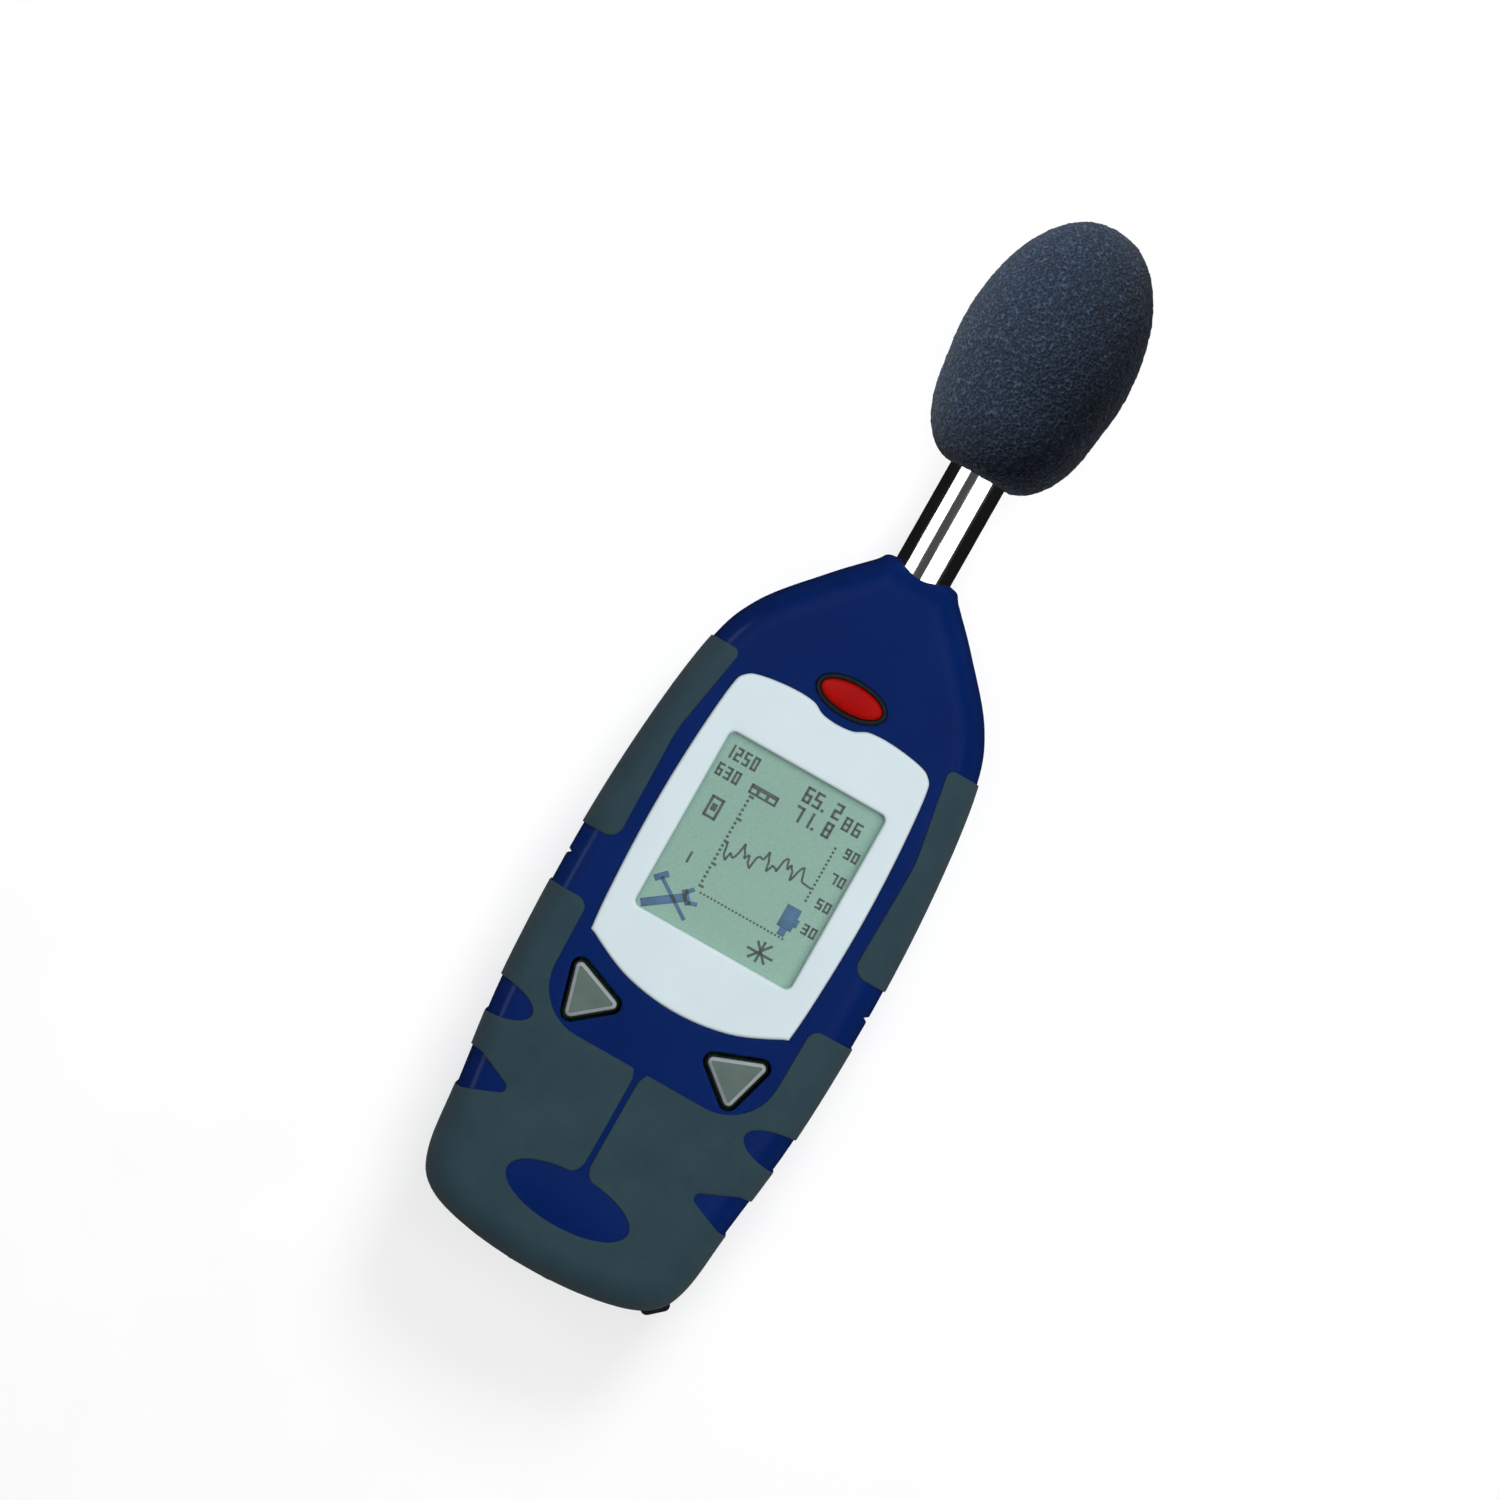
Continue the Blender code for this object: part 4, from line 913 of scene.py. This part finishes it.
def trace():
    """The wavering line of the level, rising across the plot."""
    points = []
    for i in range(46):
        x = -7.9 + i * 0.37
        wave = 1.3 * math.sin(i * 0.52 + 2.2) + 1.0 * math.sin(i * 1.31 + 0.8) + 0.5 * math.sin(i * 2.7)
        points.append((x, 95.0 + 0.26 * (x + 7.9) + wave))
    points += [(9.6, 97.4), (12.0, 97.1)]
    return [stroke_between(a, b, 0.45) for a, b in zip(points, points[1:])]


def pictograms():
    """Blue status marks: a door and two crossed tools."""
    bars = [(9.4, 12.7, 87.2, 92.2), (12.7, 13.3, 88.4, 90.2), (10.3, 11.9, 85.6, 87.2)]
    strokes = [((-17.2, 77.4), (-9.4, 83.0), 1.8), ((-10.6, 84.2), (-8.4, 81.7), 1.3),
            ((-10.2, 83.6), (-8.8, 85.2), 0.9), ((-8.8, 82.0), (-6.8, 82.7), 0.9),
            ((-16.0, 84.2), (-7.6, 78.6), 0.8), ((-17.2, 83.2), (-15.0, 85.4), 1.4)]
    return bars + [stroke_between(a, b, width) for a, b, width in strokes]


def side_marks():
    """Dark status marks: a boxed dot and a small star."""
    bars = [(-15.2, -12.2, 99.4, 100.0), (-15.2, -14.6, 99.4, 104.2), (-12.8, -12.2, 99.4, 104.2),
            (-15.2, -12.2, 103.6, 104.2), (-14.3, -13.1, 101.1, 102.7)]
    arms = [((6.4, 80.3), (12.4, 80.3)), ((7.4, 78.5), (11.0, 82.9)), ((11.2, 78.7), (7.8, 82.5)),
            ((9.3, 78.3), (9.3, 83.0))]
    return bars + [stroke_between(a, b, 0.55) for a, b in arms]


def build_display():
    x, s, half_x, half_s = SCREEN
    glass = plate("display_panel", [divided(rectangle(x - 20, x + 20, s - 23, s + 23, 0.6), 1.2)],
            level(GLASS_TOP), level(27.8), radius=0.15, spacing=3.0)
    finished(glass, "lcd_glass", ["lcd_glass"])
    window = plate("display_window_pane", [divided(screen_opening(-0.2, 1.2), 1.2)],
            level(30.3), level(29.7), radius=0.1, spacing=3.0)
    finished(window, "window_clear", ["display_window"])
    ink = display_ink("display_ink", (0.045, 0.06, 0.055))
    blue = display_ink("display_blue", (0.025, 0.13, 0.3))
    for name, bars, look in (("display_readout", readout() + side_marks(), ink),
            ("display_scales", scales(), ink), ("display_trace", trace(), ink),
            ("display_pictograms", pictograms(), blue)):
        finished(slabs(name, bars), "lcd_glass", [], material=look)


# ---------------------------------------------------------------- microphone
def revolved(name, profile, steps=128, smooth=35, centre=(0.0, 0.0, AXIS_Z), axis="Y"):
    """A turned piece from a closed section of (radius, distance along the axis) points."""
    angle = np.linspace(0, 2 * math.pi, steps, endpoint=False)
    order = {"X": (2, 0, 1), "Y": (0, 2, 1), "Z": (0, 1, 2)}[axis]
    rows, verts, faces = [], [], []
    for radius, along in profile:
        on_axis = radius < 1e-6
        ring = [(0.0, 0.0)] if on_axis else [(radius * math.cos(a), radius * math.sin(a)) for a in angle]
        rows.append(list(range(len(verts), len(verts) + len(ring))))
        for u, v in ring:
            local = (u, v, along)
            verts.append(tuple(local[order[k]] + centre[k] for k in range(3)))
    for low, high in zip(rows, rows[1:] + rows[:1]):
        for i in range(steps):
            j = (i + 1) % steps
            corners = (low[i % len(low)], low[j % len(low)], high[j % len(high)], high[i % len(high)])
            face = tuple(dict.fromkeys(corners))
            if len(face) > 2:
                faces.append(face)
    obj = made(name, verts, faces, smooth)
    bm = bmesh.new()
    bm.from_mesh(obj.data)
    bmesh.ops.recalc_face_normals(bm, faces=bm.faces)
    bm.to_mesh(obj.data)
    bm.free()
    return obj


def eased_ring(outer, inner, start, end, edge=0.25):
    """Section of a ring with rounded outer edges."""
    corner = [(outer - edge * (1 - math.cos(a)), edge * (1 - math.sin(a)))
            for a in np.radians((0, 22.5, 45, 67.5, 90))]
    low = [(radius, start + rise) for radius, rise in corner]
    high = [(radius, end - rise) for radius, rise in reversed(corner)]
    return [(inner, start), *reversed(low), *reversed(high), (inner, end)]


def cut(obj, cutter):
    """Cuts obj with a helper object and removes the helper."""
    modifier = obj.modifiers.new("cut", "BOOLEAN")
    modifier.operation = "DIFFERENCE"
    modifier.object = cutter
    mesh = settled(obj)
    obj.modifiers.clear()
    obj.data = mesh
    bpy.data.objects.remove(cutter)


def block(x0, x1, s0, s1, z0, z1):
    corners = [(x, s, z) for x in (x0, x1) for s in (s0, s1) for z in (z0, z1)]
    faces = [(0, 1, 3, 2), (4, 6, 7, 5), (0, 4, 5, 1), (2, 3, 7, 6), (0, 2, 6, 4), (1, 5, 7, 3)]
    return made("helper_block", corners, faces, 0)


def build_microphone():
    tube = revolved("preamp_tube_body", eased_ring(TUBE_RADIUS, 5.4, 146.0, 216.2))
    finished(tube, "tube_chrome", ["preamp_tube"])
    capsule = revolved("mic_capsule_body", [(0, 217.6), *eased_ring(TUBE_RADIUS, 5.2, 217.6, 226.0)[1:],
            (5.2, 222.0), (0, 222.0)])
    finished(capsule, "tube_chrome", ["mic_capsule"])
    grid = revolved("mic_grid_cap", [(5.2, 226.9), *eased_ring(TUBE_RADIUS, 5.2, 226.9, 229.0, 0.5)[1:-1],
            (0, 229.0), (0, 228.1), (5.2, 228.1)])
    for angle in range(0, 180, 30):
        turn = math.radians(angle)
        for reach in (-SLOT_RADIUS, SLOT_RADIUS):
            cut(grid, slot_cutter(reach * math.cos(turn), reach * math.sin(turn), turn))
    finished(grid, "tube_chrome", ["mic_grid"])


SLOT_RADIUS = 2.6           # how far out the middle of each slot in the grid lies


def slot_cutter(x, z, turn):
    """A short radial slot through the grid's face."""
    slot = block(-1.5, 1.5, 225, 235, -0.35, 0.35)
    slot.rotation_euler = (0, -turn, 0)
    slot.location = (x * MM, 0, (AXIS_Z + z) * MM)
    return slot


WINDSCREEN = [
    (0.0, 247.0), (5.6, 245.7), (10.6, 242.0), (14.6, 236.2), (17.1, 229.6), (18.6, 221.5),
    (18.8, 214.5), (18.1, 208.2), (16.8, 200.1), (15.0, 195.2), (12.6, 191.6), (10.0, 189.4),
    (7.6, 188.4),
]


def foam_grain(point):
    """Relief of open foam in millimetres, always below the smooth surface."""
    coarse = noise.noise(point * 0.55) * 0.10
    pores = noise.noise(point * 1.35) * 0.16 + noise.noise(point * 2.6) * 0.09
    return -0.02 + coarse + pores


FOAM_ROWS, FOAM_STEPS = 190, 330
BORE_RADIUS, BORE_START, BORE_END = TUBE_RADIUS + 0.3, 188.7, 229.6
FOAM_MIDDLE, TIP_START, TIP_MIDDLE = 212, 240, 228      # stations


def build_windscreen():
    """The foam, its relief cut outwards from the axis, and from a middle point at the tip."""
    outer = np.array(smooth_strip(WINDSCREEN[::-1], 12))
    outer[:, 0] = np.maximum(outer[:, 0], 0.0)
    length = lengths_along(outer)
    at = np.linspace(0, length[-1], FOAM_ROWS)
    radius, station = (np.interp(at, length, outer[:, k]) for k in (0, 1))
    profile = [(BORE_RADIUS, BORE_END), (BORE_RADIUS, BORE_START), *zip(radius, station)]
    profile[-1] = (0.0, profile[-1][1])
    profile.append((0.0, BORE_END))
    foam = revolved("foam_windscreen", profile, FOAM_STEPS, 0)
    for vertex in foam.data.vertices:
        point = Vector(vertex.co) / MM
        place = point.y - STATION_ZERO
        across = Vector((point.x, 0.0, point.z - AXIS_Z))
        if across.length < BORE_RADIUS + 0.1 and BORE_START - 0.1 < place < BORE_END + 1.4:
            continue
        if place > TIP_START:
            out = (point - Vector((0, STATION_ZERO + TIP_MIDDLE, AXIS_Z))).normalized()
        else:
            out = Vector((across.x, 0.25 * (place - FOAM_MIDDLE), across.z)).normalized()
        vertex.co += out * foam_grain(point) * MM
    finished(foam, "foam", ["windscreen"], "foam_screen")


# ---------------------------------------------------------------- back of the case
DOOR = (-22.9, 22.9, 17.6, 78.6)    # X range and station range
DOOR_THICKNESS = 1.7
HINGE = (78.6, 1.8)         # station and height of the door's hinge
SCREWS = [(-24.6, 13.8, 5.2), (24.6, 13.8, 5.2), (-17.5, 142.0, 9.2), (17.5, 142.0, 9.2)]
TRIPOD = (0.0, 96.0)
COVER = (17.0, 7.8, 19.1)   # half width, bottom and top height of the connector cover


def prism(name, loop, z0, z1):
    return slabs(name, [[tuple(p) for p in loop]], z1, z1 - z0)


def joined(first, *others):
    """Adds the other objects' meshes to the first one's."""
    bm = bmesh.new()
    bm.from_mesh(first.data)
    for other in others:
        bm.from_mesh(other.data)
        bpy.data.objects.remove(other)
    bm.to_mesh(first.data)
    bm.free()
    first.data.set_sharp_from_angle(angle=math.radians(35))
    return first


def build_rear_case():
    x0, x1, s0, s1 = DOOR
    holes = [rectangle(x0 - 0.2, x1 + 0.2, s0 - 0.2, s1 + 1.7, 1.2), ellipse(*TRIPOD, 5.7, 5.7, 64)]
    holes += [ellipse(x, s, 2.35, 2.35, 40) for x, s, _ in SCREWS]
    loops = loops_over(BACK, None, *holes, *side_notches())
    case = skin_piece("rear_case_shell", BACK, loops, 2.6, 0.25)
    cut(case, block(-15.4, 15.4, -3, 7, 8.8, 18.2))
    bosses = []
    for i, (x, s, base) in enumerate(SCREWS):
        top = float(BACK.height(np.array([[x, s]]))[0])
        section = [(2.3, base + 1.6), (2.3, top + 0.6), (3.4, top + 1.2), (3.4, base + 1.6)]
        bosses.append(revolved("boss", section, 40, centre=(x, s, 0.0), axis="Z"))
    joined(case, *bosses)
    finished(case, "case_blue", ["rear_case"])


def rear_boot_area():
    return rounded([
        (-42, 72.3, 0), (-42, -4, 0), (42, -4, 0), (42, 72.3, 0), (27.2, 72.3, 2.5), (25.4, 60, 8),
        (25.4, 15.4, 3), (-25.4, 15.4, 3), (-25.4, 60, 8), (-27.2, 72.3, 2.5),
    ])


LUG_FOOT = (26.4, 6.0, 13.0)
LUG_ALONG, LUG_OUT = Vector((0.75, 0.66, 0.0)), Vector((0.66, -0.75, 0.0))


def build_rear_boot():
    wells = [ellipse(x, s, 3.3, 3.3, 48) for x, s, _ in SCREWS[:2]]
    loops = loops_over(BACK_RUBBER, rear_boot_area(), *finger_notches(back=True), *wells)
    boot = skin_piece("rear_boot_rubber", BACK_RUBBER, loops, 0.9, 0.34)
    half, low, _ = COVER
    cut(boot, block(-half - 0.25, half + 0.25, -6, 9, low - 0.2, 21))
    hollow = revolved("hollow", [(1.7, 10.8), (1.7, 15.2), (0, 15.2), (0, 10.8)], 32,
            centre=(LUG_FOOT[0] + 0.26, LUG_FOOT[1] - 0.3, 0.0), axis="Z")
    cut(boot, hollow)
    finished(boot, "grip_rubber", ["rear_boot"])


def build_connector_cover():
    """Curved flap in the bottom end, with a moulded pull at its upper edge."""
    half, low, high = COVER
    outer = BACK_RUBBER.outline
    front = outer[(np.abs(outer[:, 0]) < half) & (outer[:, 1] < 10)]
    front = front[np.argsort(front[:, 0])]
    back = front[::-1] + (0, 1.5)
    loop = divided(np.vstack([front, back]), 0.8)
    cover = plate("connector_flap_rubber", [loop], level(high), level(low), radius=0.3, spacing=0.7)
    lip_outline = rounded([(-5, -0.35, 0.3), (5, -0.35, 0.3), (5, 1.2, 0), (-5, 1.2, 0)])
    lip = plate("lip", [divided(lip_outline, 0.6)], level(high - 0.9), level(high - 2.3),
            radius=0.25, spacing=0.6)
    joined(cover, lip)
    finished(cover, "grip_rubber", ["connector_cover"], "connector_flap")


def build_battery_door():
    x0, x1, s0, s1 = DOOR
    station, height = HINGE
    low, high = BACK_FLOOR, BACK_FLOOR + DOOR_THICKNESS
    ears = [(x1, s1 - 2.6, 0.4), (16.9, s1 - 2.6, 0), (16.9, s1, 0), (-16.9, s1, 0), (-16.9, s1 - 2.6, 0),
            (x0, s1 - 2.6, 0.4)]
    loop = divided(rounded([(x0, s0, 1.0), (x1, s0, 1.0), *ears]), 1.0)
    door = plate("battery_door_plate", [loop], level(low), level(high), side=-1, radius=0.35, spacing=2.0)
    for i in range(5):
        groove_station = 25 + 2.4 * i
        groove_loop = rectangle(-9, 9, groove_station, groove_station + 1.1, 0.5)
        cut(door, prism("helper", groove_loop, low - 1, low + 0.5))
    cut(door, prism("helper", ellipse(0, s0, 6, 2.2, 64), low - 1, low + 0.9))
    barrel = revolved("barrel", [(0, -16.9), (1.25, -16.9), (1.25, 16.9), (0, 16.9)], 48,
            centre=(0, station, height), axis="X")
    pins = revolved("pins", [(0, -20.1), (0.7, -20.1), (0.7, 20.1), (0, 20.1)], 32,
            centre=(0, station, height), axis="X")
    joined(door, barrel, pins)
    finished(door, "case_blue", ["battery_door"], "battery_cover")


def build_screws():
    """Pan-head screws with a cross recess."""
    for number, (x, s, base) in enumerate(SCREWS, 1):
        section = [(0, 24.0), (0.6, 24.0), (1.2, 22.8), (1.2, base + 1.6), (2.0, base + 1.6),
                (2.0, base + 0.55), (1.9, base + 0.25), (1.65, base + 0.06), (1.3, base), (0, base)]
        screw = revolved(f"case_screw_{number}_body", section, 48, centre=(x, s, 0.0), axis="Z")
        for reach_x, reach_s in ((1.2, 0.3), (0.3, 1.2)):
            cut(screw, block(x - reach_x, x + reach_x, s - reach_s, s + reach_s, base - 1, base + 0.8))
        finished(screw, "spring_steel", [f"case_screw_{number}"])


def build_tripod_insert():
    """Brass insert with the grooves of its quarter-inch thread."""
    low, high, pitch, bore = BACK_FLOOR, 10.0, 1.27, 3.175
    thread = []
    for i in range(7):
        start = low + 0.5 + i * pitch
        thread += [(bore, start), (bore + 0.45, start + pitch / 2)]
    section = [(5.5, low), (5.5, high), (bore, high), *reversed(thread), (bore + 0.5, low)]
    insert = revolved("tripod_insert_body", section, 72, 30, centre=(*TRIPOD, 0.0), axis="Z")
    finished(insert, "brass", ["tripod_insert"])


def wire(name, points, radius):
    """A round wire through the points."""
    curve = bpy.data.curves.new(name, "CURVE")
    curve.dimensions = "3D"
    curve.bevel_depth = radius * MM
    curve.bevel_resolution = 6
    curve.use_fill_caps = True
    spline = curve.splines.new("POLY")
    spline.points.add(len(points) - 1)
    for point, (x, s, z) in zip(spline.points, points):
        point.co = (x * MM, (s + STATION_ZERO) * MM, z * MM, 1)
    helper = placed("helper_wire", curve)
    mesh = settled(helper)
    bpy.data.objects.remove(helper)
    mesh.shade_smooth()
    mesh.set_sharp_from_angle(angle=math.radians(60))
    return placed(name, mesh)


def build_strap_lug():
    half, rise, depth, bend = 2.6, 1.6, 2.0, 0.8
    flat = [(-half, -depth), (-half, rise - bend)]
    flat += [(-half + bend * (1 - math.cos(a)), rise - bend * (1 - math.sin(a)))
            for a in np.radians(np.arange(15, 91, 15))]
    flat += [(-along, out) for along, out in reversed(flat)]
    foot = Vector(LUG_FOOT)
    points = [foot + LUG_ALONG * along + LUG_OUT * out for along, out in flat]
    finished(wire("strap_lug_wire", points, 0.55), "black_plastic", ["strap_lug"])


# ---------------------------------------------------------------- battery bay
CELLS = [(1, -14.7, 25.0, False), (2, 0.0, 21.15, True), (3, 14.7, 25.0, False)]
CELL_Z, CELL_RADIUS, CELL_LENGTH = 10.5, 7.15, 49.8


def build_cells():
    for number, x, start, flipped in CELLS:
        end = start + CELL_LENGTH
        shoulder = end - 1.2
        section = [(0, end), (2.4, end), (2.6, end - 0.2), (2.6, shoulder), (5.9, shoulder),
                (6.3, shoulder + 0.15), (6.75, shoulder), (CELL_RADIUS, shoulder - 0.5)]
        section += [(CELL_RADIUS, s) for s in (shoulder - 12.0, start + 0.5)]
        section += [(6.75, start), (6.2, start + 0.15), (0, start + 0.15)]
        if flipped:
            section = [(r, start + end - s) for r, s in section]
        cell = revolved(f"battery_cell_{number}_body", section, 72, centre=(x, 0.0, CELL_Z))
        finished(cell, "cell_wrap", [f"battery_cell_{number}"])
        cell.data.materials.append(COPPER)
        cell.data.materials.append(MATERIALS["spring_steel"])
        paint(cell, 1, lambda points, a=start, b=end, f=flipped: (points[:, 1] < a + 13) if f
              else (points[:, 1] > b - 13))


# ---------------------------------------------------------------- the rest of the CAD nodes
CARRIED = {
    "board_green": ["main_board", "preamp_board"],
    "spring_steel": ["usb_socket", "clock_cell", "battery_spring_1", "battery_spring_2",
        "battery_spring_3"],
    "brass": ["mic_diaphragm", "link_plate_bottom", "link_plate_top", "terminal_plate_left",
        "terminal_plate_right"],
    "black_plastic": ["lcd_frame", "battery_tray", "output_jack", "power_jack", "tube_saddle",
        "power_switch", "up_switch", "down_switch"],
    "insulator_white": ["backlight", "mic_insulator"],
    "seal_black": ["tube_seal"],
}


def dress_carried():
    """Gives the CAD nodes that stay on show their materials."""
    looks = [(slot, MATERIALS[slot], nodes) for slot, nodes in CARRIED.items()]
    looks.append(("black_plastic", chip_black(), ["processor_chip", "converter_chip"]))
    for slot, material, nodes in looks:
        for name in nodes:
            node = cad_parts[name]
            node.data.materials.clear()
            node.data.materials.append(material)


# ---------------------------------------------------------------- stage
VIEW_TURN = math.radians(29.57)      # the meter's long axis leans this far from upright


def add_area(name, bearing, tilt, distance_m, size, power, only, colour=(1, 1, 1),
        glossy=True):
    """A soft box over the meter. The bearing is measured in the XY plane from +Y towards +X, the
    tilt from straight above, and the second size runs along the meter. It lights nothing but
    the objects in only."""
    lamp = bpy.data.lights.new(name, "AREA")
    lamp.shape = "RECTANGLE"
    lamp.size, lamp.size_y = size
    lamp.energy = power
    lamp.color = colour
    obj = placed(name, lamp)
    bearing, tilt = math.radians(bearing), math.radians(tilt)
    away = Vector((math.sin(bearing) * math.sin(tilt), math.cos(bearing) * math.sin(tilt), math.cos(tilt)))
    across = Vector((0, 1, 0)) if abs(math.cos(bearing)) < 0.9 else Vector((1, 0, 0))
    side = across.cross(away).normalized()
    up = away.cross(side).normalized()
    turn = Matrix((side, up, away)).transposed().to_4x4()
    obj.matrix_world = Matrix.Translation(away * distance_m) @ turn
    obj.visible_glossy = glossy
    lit = bpy.data.collections.new(f"{name}_lit")
    for piece in only:
        lit.objects.link(piece)
    obj.light_linking.receiver_collection = lit
    return obj


def build_stage():
    bm = bmesh.new()
    bmesh.ops.create_grid(bm, x_segments=2, y_segments=2, size=3.0)
    mesh = bpy.data.meshes.new("floor")
    bm.to_mesh(mesh)
    bm.free()
    floor = placed("floor", mesh)
    floor.location = (0, 0, CAD_LOW.z - 0.0002)
    finish = Finish("floor_paper", (0.9, 0.9, 0.9), 0.9)
    finish.colours(finish.noise(40, 2.0), (0.3, (0.89, 0.89, 0.89)), (0.7, (0.91, 0.91, 0.91)))
    mesh.materials.append(finish.made)
    floor.visible_glossy = False


def build_sky():
    """Light from all round that fades out towards the horizon."""
    world = bpy.data.worlds.new("studio")
    world.use_nodes = True
    nodes, join = world.node_tree.nodes, world.node_tree.links.new
    background, place = nodes["Background"], nodes.new("ShaderNodeTexCoord")
    split, brightness = nodes.new("ShaderNodeSeparateXYZ"), nodes.new("ShaderNodeMapRange")
    background.inputs["Color"].default_value = (0.95, 0.97, 1.0, 1.0)
    for value, name in ((0.2, "From Min"), (0.6, "From Max"), (0.01, "To Min"), (0.08, "To Max")):
        brightness.inputs[name].default_value = value
    join(place.outputs["Generated"], split.inputs["Vector"])
    join(split.outputs["Z"], brightness.inputs["Value"])
    join(brightness.outputs["Result"], background.inputs["Strength"])
    bpy.context.scene.world = world


def build_lights():
    foam, floor = bpy.data.objects["foam_windscreen"], bpy.data.objects["floor"]
    metal = [bpy.data.objects[name] for name in ("preamp_tube_body", "mic_capsule_body", "mic_grid_cap")]
    shown = [o for o in bpy.context.scene.objects if o.type == "MESH" and not o.hide_render]
    body = [o for o in shown if o is not foam and o not in metal and o is not floor]
    add_area("key", 70, 30, 1.5, (1.2, 1.4), 20.0, body, glossy=False)
    add_area("fill", -50, 30, 1.5, (1.2, 1.2), 10.0, body, glossy=False)
    add_area("left_strip", -90, 67, 0.9, (0.16, 0.9), 0.8, body, (0.9, 0.93, 1.0))
    add_area("foam_key", -45, 52, 1.2, (0.4, 0.4), 14.0, [foam])
    add_area("tube_left", -90, 52, 0.6, (0.45, 2.0), 7.0, metal)
    add_area("tube_right", 90, 33, 0.6, (0.68, 2.0), 10.7, metal)
    flood = add_area("floor_light", 0, 0, 1.5, (1.5, 1.5), 27.0, [floor], glossy=False)
    flood.data.use_shadow = False
    low = add_area("floor_key", 5, 48, 1.4, (0.5, 0.5), 5.5, [floor], glossy=False)
    casting = bpy.data.collections.new("floor_key_shadows")
    for piece in body:
        casting.objects.link(piece)
    low.light_linking.blocker_collection = casting


def build_camera():
    lens = bpy.data.cameras.new("camera")
    lens.lens = 200
    lens.sensor_width = 36
    lens.clip_start, lens.clip_end = 0.01, 20
    camera = placed("camera", lens)
    field = 0.3086          # width of the picture at the meter's face, in metres
    away = field * lens.lens / lens.sensor_width
    camera.location = (-0.01305, -0.0077, FRONT_TOP * MM + away)
    camera.rotation_euler = (0, 0, VIEW_TURN)
    bpy.context.scene.camera = camera
    bpy.context.scene.view_settings.view_transform = "Standard"


build_front_case()
build_front_boot()
build_grips(FRONT_RUBBER, back=False)
build_rear_case()
build_rear_boot()
build_grips(BACK_RUBBER, back=True)
build_connector_cover()
build_battery_door()
build_screws()
build_tripod_insert()
build_strap_lug()
build_cells()
build_bezel()
build_keys()
build_display()
build_microphone()
build_windscreen()
dress_carried()
build_stage()
build_sky()
build_lights()
build_camera()
